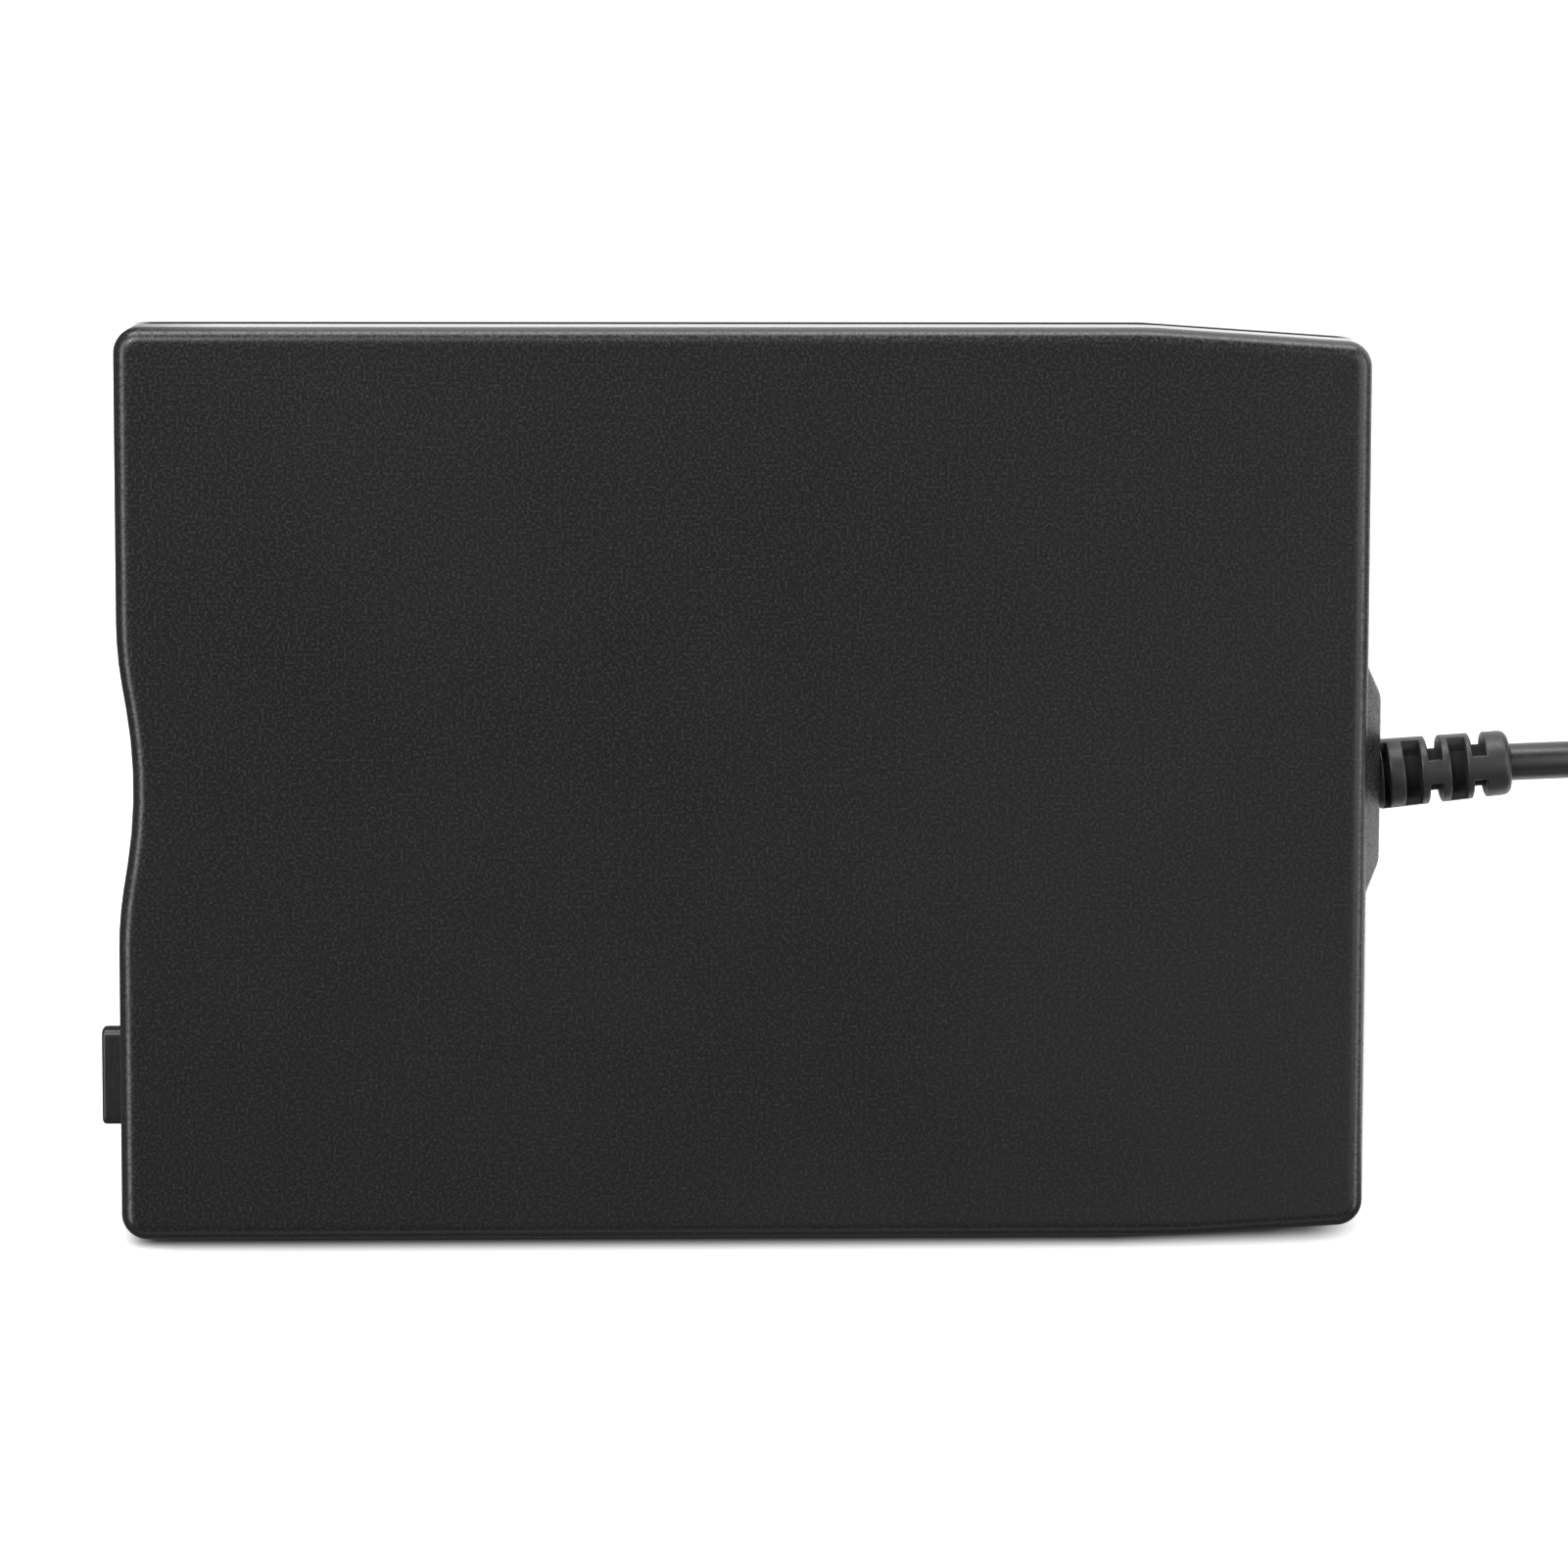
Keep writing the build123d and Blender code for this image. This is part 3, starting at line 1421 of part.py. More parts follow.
# ---------------------------------------------------------------------------------------------------------
# Lead: down to the desk, into a neat coil, and out of it to the plug
# ---------------------------------------------------------------------------------------------------------

coil_x = relief_tip.X - coil_middle_radius - coil_turn_pitch / 2
coil_y = 130.0
coil_outer = coil_middle_radius + coil_turn_pitch / 2 + lead_radius
coil_inner = coil_middle_radius - coil_turn_pitch / 2 - lead_radius
coil_top = 2 * coil_turn_pitch
lead_route = [
    (relief_tip.X, relief_tip.Y, seam),
    (relief_tip.X - 0.25, relief_tip.Y + 7.5, seam - 0.4),
    (relief_tip.X - 0.2, relief_tip.Y + 16.5, seam - 2.9),
    (relief_tip.X + 0.1, relief_tip.Y + 25.5, seam - 6.1),
    (relief_tip.X + 0.05, relief_tip.Y + 33.5, lead_radius + 0.05),
    (relief_tip.X, coil_y, lead_radius),
]
tail_start = Vector(coil_x, coil_y + coil_middle_radius + coil_turn_pitch / 2, lead_radius)
tail_route = [
    tuple(tail_start),
    (tail_start.X - 7.0, tail_start.Y, lead_radius + 0.2),
    (tail_start.X - 13.0, tail_start.Y + 0.5, grip_height / 2 - 0.3),
    (tail_start.X - 19.0, tail_start.Y + 0.5, grip_height / 2),
]


def corner_radii(route):
    """The bend radius that the shorter run beside each inner point allows."""
    points = [Vector(*point) for point in route]
    radii = []
    for before, corner, after in zip(points, points[1:], points[2:]):
        turn = radians((corner - before).get_angle(after - corner))
        shorter = min((corner - before).length, (after - corner).length)
        radii.append(0.45 * shorter / tan(turn / 2))
    return radii


def round_tube(route, name):
    """One length of the lead along a route of straight runs joined by tangent arcs."""
    radii = corner_radii(route)
    with BuildPart() as tube:
        with BuildLine():
            path = FilletPolyline(*route, radius=radii)
        first = Vector(*route[1]) - Vector(*route[0])
        with BuildSketch(Plane(route[0], z_dir=first)):
            Circle(lead_radius)
        sweep(path=path)
    expected = pi * lead_radius**2 * path.length
    print(name, "length", round(path.length, 2), "bend radii", [round(r, 1) for r in radii])
    print(name, "volume", round(tube.part.volume, 1), "section times length", round(expected, 1))
    save(tube.part, name)


round_tube(lead_route, "usb_cable")
round_tube(tail_route, "cable_tail")

tie_plane = Plane((coil_x, coil_y, 0), x_dir=(cos(radians(tie_angle)), sin(radians(tie_angle)), 0), z_dir=(
    sin(radians(tie_angle)), -cos(radians(tie_angle)), 0))
coil_width = coil_outer - coil_inner
with BuildPart() as cable_tie:
    with BuildSketch(tie_plane.offset(-tie_width / 2)):
        with Locations((coil_middle_radius, (coil_top + tie_thickness) / 2)):
            RectangleRounded(
                coil_width + 2 * tie_thickness, coil_top + tie_thickness, coil_edge_round + tie_thickness
            )
        with Locations((coil_middle_radius, (coil_top + tie_thickness) / 2)):
            RectangleRounded(coil_width, coil_top - tie_thickness, coil_edge_round, mode=Mode.SUBTRACT)
    extrude(amount=tie_width)
save(cable_tie.part, "cable_tie")

with BuildPart() as cable_coil:
    with BuildSketch(Plane.XZ.offset(-coil_y)):
        with Locations((coil_x + coil_middle_radius, coil_top / 2)):
            RectangleRounded(coil_width, coil_top, coil_edge_round)
    revolve(axis=Axis((coil_x, coil_y, 0), (0, 0, 1)))
    add(cable_tie.part, mode=Mode.SUBTRACT)
save(cable_coil.part, "cable_coil")

# ---------------------------------------------------------------------------------------------------------
# Plug
# ---------------------------------------------------------------------------------------------------------

plug_start = Vector(*tail_route[-1])
plug_plane = Plane(plug_start, x_dir=(0, 1, 0), z_dir=(-1, 0, 0))
plug_shell_x = plug_start.X - grip_length
plug_end_x = plug_shell_x - plug_length
tongue_height = (plug_height - 2 * plug_sheet) / 2
tongue_width = plug_width - 2 * plug_sheet

with BuildPart() as plug_grip:
    with BuildSketch(plug_plane):
        RectangleRounded(lead_diameter + 2 * grip_round, lead_diameter + grip_round, grip_round)
    with BuildSketch(plug_plane.offset(grip_nose)):
        RectangleRounded(grip_width, grip_height, grip_round)
    loft()
    with BuildSketch(plug_plane.offset(grip_nose)):
        RectangleRounded(grip_width, grip_height, grip_round)
    extrude(amount=grip_length - grip_nose)
    fillet(plug_grip.faces().sort_by(Axis.X)[0].edges(), grip_round / 2)
save(plug_grip.part, "plug_grip")

with BuildPart() as plug_shell:
    with BuildSketch(plug_plane.offset(grip_length)):
        Rectangle(plug_width, plug_height)
        Rectangle(tongue_width, plug_height - 2 * plug_sheet, mode=Mode.SUBTRACT)
    extrude(amount=plug_length)
    with BuildSketch(Plane.XY):
        with Locations((plug_shell_x - plug_window_place, plug_start.Y)):
            with GridLocations(plug_window, plug_window_pitch, 1, 2):
                Rectangle(plug_window, plug_window)
    extrude(amount=case_top, mode=Mode.SUBTRACT)
save(plug_shell.part, "plug_shell")

with BuildPart() as plug_insert:
    brick(
        (plug_end_x + plug_sheet, plug_shell_x),
        (plug_start.Y - tongue_width / 2, plug_start.Y + tongue_width / 2),
        (plug_start.Z, plug_start.Z + tongue_height),
    )
save(plug_insert.part, "plug_insert")

with BuildPart() as plug_contacts:
    for step in range(wire_count):
        y = plug_start.Y + (step - (wire_count - 1) / 2) * contact_pitch
        brick(
            (plug_end_x + contact_rear_gap, plug_shell_x - contact_front_gap),
            (y - contact_width / 2, y + contact_width / 2),
            (plug_start.Z - contact_thickness, plug_start.Z),
        )
save(plug_contacts.part, "plug_contacts")
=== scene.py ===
"""Looks of the slim external floppy disk drive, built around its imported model.

Metres, +Z up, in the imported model's own frame: the slot faces -Y, the eject button is on the +X side and
the lead leaves towards +Y.
"""

import logging
import math
from collections.abc import Callable, Iterable, Sequence
from dataclasses import dataclass, field
from enum import Enum

import bmesh
import bpy
from bpy.types import ID, Material, Mesh, Node, NodeSocket, Object
from mathutils import Matrix, Vector


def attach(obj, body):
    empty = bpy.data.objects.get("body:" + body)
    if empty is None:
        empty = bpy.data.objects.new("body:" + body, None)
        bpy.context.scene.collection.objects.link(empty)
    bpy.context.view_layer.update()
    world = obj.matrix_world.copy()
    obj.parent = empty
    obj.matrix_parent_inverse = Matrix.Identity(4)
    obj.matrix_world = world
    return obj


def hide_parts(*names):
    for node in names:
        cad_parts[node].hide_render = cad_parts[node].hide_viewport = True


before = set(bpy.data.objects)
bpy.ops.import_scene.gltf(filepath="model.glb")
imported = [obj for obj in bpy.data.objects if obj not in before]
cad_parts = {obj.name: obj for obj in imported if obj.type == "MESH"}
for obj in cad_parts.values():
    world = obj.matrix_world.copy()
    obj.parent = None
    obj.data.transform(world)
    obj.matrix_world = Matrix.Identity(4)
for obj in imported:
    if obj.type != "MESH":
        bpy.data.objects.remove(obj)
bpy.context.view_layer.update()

log = logging.getLogger("floppy_drive")
MM = 0.001
IMAGE_SIZE = 1601  # pixels

Point = tuple[float, float, float]
Pair = tuple[float, float]
Colour = tuple[float, float, float]
Paint = tuple[float, float, float, float]
Sample = tuple[float, float, float, float]

RISE: Pair = (0.0, 1.0)
FALL: Pair = (1.0, 0.0)
MIDDLE: Pair = (0.3, 0.7)
SMOOTH = "SMOOTHSTEP"
WHITE: Paint = (1.0, 1.0, 1.0, 1.0)

# Distances in metres below which two points, or the ends of an edge, are taken for one.
DOUBLED = 2e-6
TINY = 1e-6

# Angles in degrees between two faces: shaded sharp, given a bevel, merged as flat.
SHARP_ANGLE = 32.0
BEVEL_ANGLE = 35.0
FLAT_ANGLE = 0.4

# Width in millimetres from which a bevel gets the second number of faces.
WIDE_BEVEL = 0.3
BEVEL_SEGMENTS = (2, 5)


# ---------------------------------------------------------------------------------------------------------
# Finishes
# ---------------------------------------------------------------------------------------------------------


class Graph:
    """Adds and joins the nodes of one material."""

    def __init__(self, name: str) -> None:
        """Start a material with a Principled shader.

        Args:
            name: The material's name.
        """
        self.material = bpy.data.materials.new(name)
        self.material.use_nodes = True
        self.tree = self.material.node_tree
        self.shader = self.tree.nodes["Principled BSDF"]
        self.place = self.add("ShaderNodeTexCoord").outputs["Object"]

    def add(self, kind: str, settings: dict | None = None, **inputs: object) -> Node:
        """Add a node.

        Args:
            kind: The node's type.
            settings: Its properties.
            inputs: Socket values or links, with underscores for the spaces in their names.

        Returns:
            The node.
        """
        node = self.tree.nodes.new(kind)
        for key, value in (settings or {}).items():
            setattr(node, key, value)
        for key, value in inputs.items():
            self.put(node, key.replace("_", " "), value)
        return node

    def put(self, node: Node, socket: str, value: object) -> None:
        """Set or link one input socket of a node."""
        self.join(next(s for s in node.inputs if s.name == socket and s.enabled), value)

    def join(self, target: NodeSocket, value: object) -> None:
        """Link an input socket to another one, or give it a value.

        Args:
            target: An input socket.
            value: An output socket to link it to, or its value.
        """
        if isinstance(value, NodeSocket):
            self.tree.links.new(value, target)
        else:
            target.default_value = value

    def noise(self, size: float, detail: float = 2.0, place: object = None) -> NodeSocket:
        """A noise whose blotches are about a size across, in metres."""
        coords = self.place if place is None else place
        return self.add("ShaderNodeTexNoise", Vector=coords, Scale=1 / size, Detail=detail).outputs["Fac"]

    def streaks(self, scale: Point) -> NodeSocket:
        """A noise with a scale of its own on each axis."""
        place = self.add("ShaderNodeMapping", Vector=self.place, Scale=scale).outputs["Vector"]
        return self.noise(1.0, 3.0, place)

    def fit(self, value: NodeSocket, source: Pair, target: Pair = RISE, curve: str = "LINEAR") -> NodeSocket:
        """Map one range of a value to another, and clamp it there.

        Args:
            value: The value.
            source: The range that it comes from.
            target: The range that it is mapped to.
            curve: How it runs between the two ends.

        Returns:
            The mapped value.
        """
        node = self.add("ShaderNodeMapRange", {"interpolation_type": curve}, Value=value)
        for socket, limit in zip(("From Min", "From Max", "To Min", "To Max"), (*source, *target)):
            node.inputs[socket].default_value = limit
        return node.outputs["Result"]

    def over(self, value: NodeSocket, span: Pair, target: Pair = RISE, curve: str = "LINEAR") -> NodeSocket:
        """Map a range of places in millimetres, as fit does."""
        return self.fit(value, metres(span), target, curve)

    def plan(self) -> tuple[NodeSocket, NodeSocket]:
        """The X and the Y of a point."""
        split = self.add("ShaderNodeSeparateXYZ", Vector=self.place).outputs
        return split["X"], split["Y"]

    def attribute(self, name: str) -> NodeSocket:
        """The value of a point attribute."""
        return self.add("ShaderNodeAttribute", {"attribute_name": name}).outputs["Fac"]

    def clouded(self, fac: NodeSocket, blur: Pair, colour: Colour, tones: Pair) -> NodeSocket:
        """A colour that drifts between two tones of itself.

        Args:
            fac: The noise that it drifts with.
            blur: The part of the noise's range that is used.
            colour: Base colour.
            tones: Factors of its darkest and lightest tone.

        Returns:
            The colour.
        """
        return self.mix(self.fit(fac, blur), shade(colour, tones[0]), shade(colour, tones[1]))

    def worn(self, fac: NodeSocket, blur: Pair, roughness: float, spread: Pair) -> NodeSocket:
        """A roughness that varies about its middle.

        Args:
            fac: The noise that it varies with.
            blur: The part of the noise's range that is used.
            roughness: The middle.
            spread: How far it goes to each side.

        Returns:
            The roughness.
        """
        return self.fit(fac, blur, (roughness + spread[0], roughness + spread[1]))

    def math(self, operation: str, first: object, second: object) -> NodeSocket:
        """Combine two values.

        Args:
            operation: What is done.
            first: One value or socket.
            second: The other.

        Returns:
            The result.
        """
        node = self.add("ShaderNodeMath", {"operation": operation})
        for target, value in zip(node.inputs, (first, second)):
            self.join(target, value)
        return node.outputs["Value"]

    def product(self, first: object, second: object) -> NodeSocket:
        """Multiply two values."""
        return self.math("MULTIPLY", first, second)

    def maximum(self, first: object, second: object) -> NodeSocket:
        """The larger of two values."""
        return self.math("MAXIMUM", first, second)

    def blend(self, share: object, first: object, second: object) -> NodeSocket:
        """Mix two values.

        Args:
            share: How much of the second one is taken.
            first: One value or socket.
            second: The other.

        Returns:
            The mixed value.
        """
        node = self.add("ShaderNodeMix")
        for target, value in zip(node.inputs[:1] + node.inputs[2:4], (share, first, second)):
            self.join(target, value)
        return node.outputs[0]

    def mix(self, share: object, first: object, second: object) -> NodeSocket:
        """Mix two colours.

        Args:
            share: How much of the second one is taken.
            first: One colour or socket.
            second: The other.

        Returns:
            The mixed colour.
        """
        node = self.add("ShaderNodeMix", {"data_type": "RGBA"})
        colour_inputs = [s for s in node.inputs if s.type == "RGBA"]
        for target, value in zip([node.inputs["Factor"], *colour_inputs], (share, first, second)):
            self.join(target, value)
        return next(s for s in node.outputs if s.type == "RGBA")

    def bump(self, height: NodeSocket, depth: float, below: object = None) -> NodeSocket:
        """A bump, on top of another one.

        Args:
            height: The height, from 0 to 1.
            depth: What a height of 1 measures, in metres.
            below: The bump below it.

        Returns:
            The normal.
        """
        node = self.add("ShaderNodeBump", Height=height, Distance=depth, Strength=1.0)
        if below is not None:
            self.put(node, "Normal", below)
        return node.outputs["Normal"]

    def finish(self, **inputs: object) -> Material:
        """Set inputs of the shader.

        Args:
            inputs: As for add.

        Returns:
            The material.
        """
        for key, value in inputs.items():
            self.put(self.shader, key.replace("_", " "), value)
        return self.material


def shade(colour: Colour, factor: float = 1.0) -> Paint:
    """A colour made lighter or darker by a factor, with full alpha."""
    return tuple(min(1.0, max(0.0, c * factor)) for c in colour) + (1.0,)


def grey(tone: float) -> Paint:
    """A grey with full alpha."""
    return shade((tone, tone, tone))


@dataclass(frozen=True)
class GrainedPlastic:
    """Moulded plastic with a spark-eroded grain, and smoother upright walls where the mould was drawn off.

    Attributes:
        colour: Base colour, linear.
        roughness: Middle roughness.
        grain: Size of one grain, in metres.
        depth: Height of the grain, in metres.
        painted_glint: How much lighter the tops of the grain are painted, standing in for glints.
        specular: Specular level.
        wall_roughness: Roughness where the point attribute "wall" is 1.
        cloud: Size of the blotches that the colour drifts in, in metres.
        clouds: Part of that noise's range that is used.
        drift: Factors between which it drifts.
        tops: Part of the grain's range where its painted glints begin.
        sheen: Part of the grain's range over which it grows dull.
        spread: How much smoother and how much duller it is than the middle.
    """

    colour: Colour
    roughness: float = 0.3
    grain: float = 0.3 * MM
    depth: float = 0.008 * MM
    painted_glint: float = 1.7
    specular: float = 0.5
    wall_roughness: float = 0.16
    cloud: float = 28 * MM
    clouds: Pair = (0.35, 0.65)
    drift: Pair = (0.88, 1.12)
    tops: Pair = (0.55, 0.76)
    sheen: Pair = (0.46, 0.7)
    spread: Pair = (-0.03, 0.22)

    def build(self, name: str) -> Material:
        """Make the material.

        Args:
            name: The material's name.

        Returns:
            The material.
        """
        g = Graph(name)
        coarse = g.noise(self.grain)
        base = g.clouded(g.noise(self.cloud), self.clouds, self.colour, self.drift)
        # Painted glints: the tops of the grain are painted lighter than the base colour.
        colour = g.mix(g.fit(coarse, self.tops), base, shade(self.colour, self.painted_glint))
        rough = g.worn(coarse, self.sheen, self.roughness, self.spread)
        rough = g.blend(g.attribute("wall"), rough, self.wall_roughness)
        normal = g.bump(coarse, self.depth)
        return g.finish(Base_Color=colour, Roughness=rough, Normal=normal, Specular_IOR_Level=self.specular)


@dataclass(frozen=True)
class SmoothPlastic:
    """Moulded plastic or rubber with a faint mould bloom and fine scuffs.

    Where a point attribute marks the bottom of a slot with 1, it is dull and darkened with painted shade.

    Attributes:
        colour: Base colour, linear.
        roughness: Middle roughness.
        bloom: Size of the blotches in the colour, in metres.
        depth: Height of the fine unevenness, in metres.
        specular: Specular level.
        ripple: Size of the fine unevenness, in metres.
        scuffs: Scale of the scuffs on each axis.
        drift: Factors between which the colour drifts.
        sheen: Part of the scuffs' range over which it grows dull.
        spread: How much smoother and how much duller it is than the middle.
        slot_shade: Factor of the colour, for the painted shade, and roughness at the bottom of a slot.
    """

    colour: Colour
    roughness: float = 0.4
    bloom: float = 5 * MM
    depth: float = 0.004 * MM
    specular: float = 0.5
    ripple: float = 0.25 * MM
    scuffs: Point = (900.0, 5200.0, 2600.0)
    drift: Pair = (0.85, 1.15)
    sheen: Pair = (0.35, 0.75)
    spread: Pair = (-0.05, 0.12)
    slot_shade: Pair = (0.15, 0.95)

    def build(self, name: str) -> Material:
        """Make the material.

        Args:
            name: The material's name.

        Returns:
            The material.
        """
        g = Graph(name)
        scuff = g.streaks(self.scuffs)
        slot_shade = g.attribute("slot_shade")
        colour = g.clouded(g.noise(self.bloom, 4.0), MIDDLE, self.colour, self.drift)
        # Painted shade: the colour darkens towards the bottom of a slot.
        colour = g.mix(slot_shade, colour, shade(self.colour, self.slot_shade[0]))
        rough = g.worn(scuff, self.sheen, self.roughness, self.spread)
        rough = g.blend(slot_shade, rough, self.slot_shade[1])
        normal = g.bump(g.noise(self.ripple), self.depth)
        return g.finish(Base_Color=colour, Roughness=rough, Normal=normal, Specular_IOR_Level=self.specular)


@dataclass(frozen=True)
class SheetMetal:
    """Rolled, plated or cast metal.

    Attributes:
        colour: Base colour, linear.
        roughness: Middle roughness.
        grain: Scale of the drawn lines on each axis; equal numbers give a cast surface.
        depth: Height of the lines, in metres.
        stain: Size of the blotches in the colour, in metres.
        stains: Part of that noise's range that is used.
        drift: Factors between which the colour drifts.
        spread: How much smoother and how much duller it is than the middle.
    """

    colour: Colour
    roughness: float = 0.35
    grain: Point = (300.0, 6000.0, 6000.0)
    depth: float = 0.002 * MM
    stain: float = 9 * MM
    stains: Pair = (0.35, 0.7)
    drift: Pair = (0.88, 1.05)
    spread: Pair = (-0.06, 0.1)

    def build(self, name: str) -> Material:
        """Make the material.

        Args:
            name: The material's name.

        Returns:
            The material.
        """
        g = Graph(name)
        lines = g.streaks(self.grain)
        colour = g.clouded(g.noise(self.stain, 3.0), self.stains, self.colour, self.drift)
        rough = g.worn(lines, MIDDLE, self.roughness, self.spread)
        normal = g.bump(lines, self.depth)
        return g.finish(Base_Color=colour, Roughness=rough, Normal=normal, Metallic=1.0)


@dataclass(frozen=True)
class CircuitBoard:
    """Solder mask over copper tracks.

    Attributes:
        mask: Colour of the bare mask.
        track: Its colour over a track.
        pitch: Pitch of the tracks, in metres.
        height: Height of the tracks, in metres.
        grain: Size of the mask's unevenness, in metres.
        edge: Where a track's edge lies, as a share of its cell.
        sheen: Lowest and highest roughness.
    """

    mask: Colour = (0.02, 0.15, 0.06)
    track: Colour = (0.05, 0.27, 0.11)
    pitch: float = 1.6 * MM
    height: float = 0.02 * MM
    grain: float = 0.6 * MM
    edge: Pair = (0.36, 0.4)
    sheen: Pair = (0.28, 0.42)

    def build(self, name: str) -> Material:
        """Make the material.

        Args:
            name: The material's name.

        Returns:
            The material.
        """
        g = Graph(name)
        kind = {"distance": "CHEBYCHEV", "feature": "F1"}
        cells = g.add("ShaderNodeTexVoronoi", kind, Vector=g.place, Scale=1 / self.pitch)
        edge = g.fit(cells.outputs["Distance"], self.edge)
        colour = g.mix(edge, shade(self.mask), shade(self.track))
        rough = g.fit(g.noise(self.grain), MIDDLE, self.sheen)
        return g.finish(Base_Color=colour, Roughness=rough, Normal=g.bump(edge, self.height))


@dataclass(frozen=True)
class Winding:
    """Turns of enamelled wire.

    Attributes:
        colour: Base colour, linear.
        wire: Thickness of the wire, in metres.
        wave: Length of one ring at a scale of 1.
        height: Height of the ridges, in metres.
        tones: Factors of the darkest and lightest tone.
        sheen: Roughness between the ridges and on top of them.
    """

    colour: Colour = (0.55, 0.2, 0.07)
    wire: float = 0.16 * MM
    wave: float = 6.28
    height: float = 0.03 * MM
    tones: Pair = (0.45, 1.2)
    sheen: Pair = (0.45, 0.25)

    def build(self, name: str) -> Material:
        """Make the material.

        Args:
            name: The material's name.

        Returns:
            The material.
        """
        g = Graph(name)
        kind = {"wave_type": "RINGS", "rings_direction": "Z"}
        scale = 1 / (self.wave * self.wire)
        rings = g.add("ShaderNodeTexWave", kind, Vector=g.place, Scale=scale, Distortion=0.4).outputs["Fac"]
        colour = g.clouded(rings, RISE, self.colour, self.tones)
        rough = g.fit(rings, RISE, self.sheen)
        return g.finish(Base_Color=colour, Roughness=rough, Metallic=0.6, Normal=g.bump(rings, self.height))


@dataclass(frozen=True)
class ClearLens:
    """Tinted clear plastic of the status light.

    Attributes:
        colour: Base colour, linear.
        frost: Size of its frost, in metres.
        height: Height of the frost, in metres.
        tones: Factors of the darkest and lightest tone.
        sheen: Lowest and highest roughness.
        clear: Share of the light that passes through it.
        index: Its refractive index.
    """

    colour: Colour = (0.5, 0.72, 0.42)
    frost: float = 0.3 * MM
    height: float = 0.004 * MM
    tones: Pair = (0.85, 1.1)
    sheen: Pair = (0.16, 0.3)
    clear: float = 0.55
    index: float = 1.49

    def build(self, name: str) -> Material:
        """Make the material.

        Args:
            name: The material's name.

        Returns:
            The material.
        """
        g = Graph(name)
        frost = g.noise(self.frost)
        colour = g.clouded(frost, RISE, self.colour, self.tones)
        rough = g.fit(frost, MIDDLE, self.sheen)
        g.finish(Base_Color=colour, Roughness=rough, Normal=g.bump(frost, self.height))
        return g.finish(Transmission_Weight=self.clear, IOR=self.index)


FINISHES = {
    "case": GrainedPlastic((0.0066, 0.0066, 0.0068)),
    "panel": GrainedPlastic((0.0115, 0.0115, 0.0118), roughness=0.34, grain=0.26 * MM, depth=0.012 * MM),
    "button": SmoothPlastic((0.0105, 0.0105, 0.0108), roughness=0.36),
    "lens": ClearLens(),
    "rubber": SmoothPlastic((0.012, 0.012, 0.012), roughness=0.72, bloom=3 * MM, depth=0.012 * MM),
    "lead": SmoothPlastic((0.011, 0.011, 0.0115), roughness=0.34, bloom=4 * MM, depth=0.006 * MM),
    "relief": SmoothPlastic((0.0115, 0.0115, 0.0118), roughness=0.42, bloom=3 * MM, depth=0.01 * MM),
    "plug_grip": GrainedPlastic((0.014, 0.014, 0.0145), roughness=0.5),
    "plug_metal": SheetMetal(
        (0.27, 0.27, 0.28), roughness=0.3, grain=(900.0, 9000.0, 9000.0), depth=0.001 * MM
    ),
    "plug_core": SmoothPlastic((0.8, 0.8, 0.78), roughness=0.35),
    "contact": SheetMetal((0.62, 0.42, 0.15), roughness=0.24),
    "sheet_steel": SheetMetal((0.62, 0.62, 0.61), roughness=0.32),
    "cast": SheetMetal((0.6, 0.61, 0.62), roughness=0.5, grain=(1800.0, 1800.0, 1800.0), depth=0.01 * MM),
    "turned_steel": SheetMetal((0.68, 0.68, 0.69), roughness=0.18, grain=(9000.0, 600.0, 9000.0)),
    "spring": SheetMetal((0.55, 0.55, 0.56), roughness=0.25),
    "screw": SheetMetal((0.09, 0.09, 0.095), roughness=0.38, grain=(4000.0, 4000.0, 4000.0)),
    "board": CircuitBoard(),
    "chip": GrainedPlastic(
        (0.012, 0.012, 0.013), roughness=0.55, grain=0.12 * MM, depth=0.006 * MM, painted_glint=1.3
    ),
    "copper": Winding(),
    "bronze": SheetMetal((0.6, 0.42, 0.2), roughness=0.42, grain=(3000.0, 3000.0, 3000.0)),
    "ferrite": SmoothPlastic((0.035, 0.035, 0.037), roughness=0.55),
    "moulding": GrainedPlastic((0.03, 0.03, 0.032), roughness=0.5, grain=0.2 * MM),
    "white_moulding": SmoothPlastic((0.72, 0.71, 0.67), roughness=0.45),
    "ribbon": SmoothPlastic((0.7, 0.7, 0.68), roughness=0.3),
    "flex": SmoothPlastic((0.5, 0.2, 0.03), roughness=0.25),
    "wire": SmoothPlastic((0.35, 0.05, 0.04)),
    "head": SmoothPlastic((0.1, 0.1, 0.11), roughness=0.15),
}


class Paintbox:
    """Makes each finish once and hands it out."""

    def __init__(self) -> None:
        """Start with no material made."""
        self.made: dict[str, Material] = {}

    def get(self, slot: str) -> Material:
        """The material of a slot, made when it is first asked for.

        Args:
            slot: The slot.

        Returns:
            The material.
        """
        if slot not in self.made:
            self.made[slot] = FINISHES[slot].build(slot)
        return self.made[slot]


# ---------------------------------------------------------------------------------------------------------
# Mesh building, in millimetres
# ---------------------------------------------------------------------------------------------------------


def metres(lengths: Sequence[float]) -> tuple[float, ...]:
    """Lengths in millimetres as metres."""
    return tuple(length * MM for length in lengths)


def link(name: str, data: ID) -> Object:
    """Add a mesh, curve, light or camera to the scene as an object.

    Args:
        name: The object's name.
        data: What it shows.

    Returns:
        The object.
    """
    obj = bpy.data.objects.new(name, data)
    bpy.context.scene.collection.objects.link(obj)
    return obj


def smooth(mesh: Mesh, angle: float = SHARP_ANGLE) -> None:
    """Shade a mesh smooth, with edges sharper than an angle in degrees kept sharp."""
    mesh.shade_smooth()
    mesh.set_sharp_from_angle(angle=math.radians(angle))


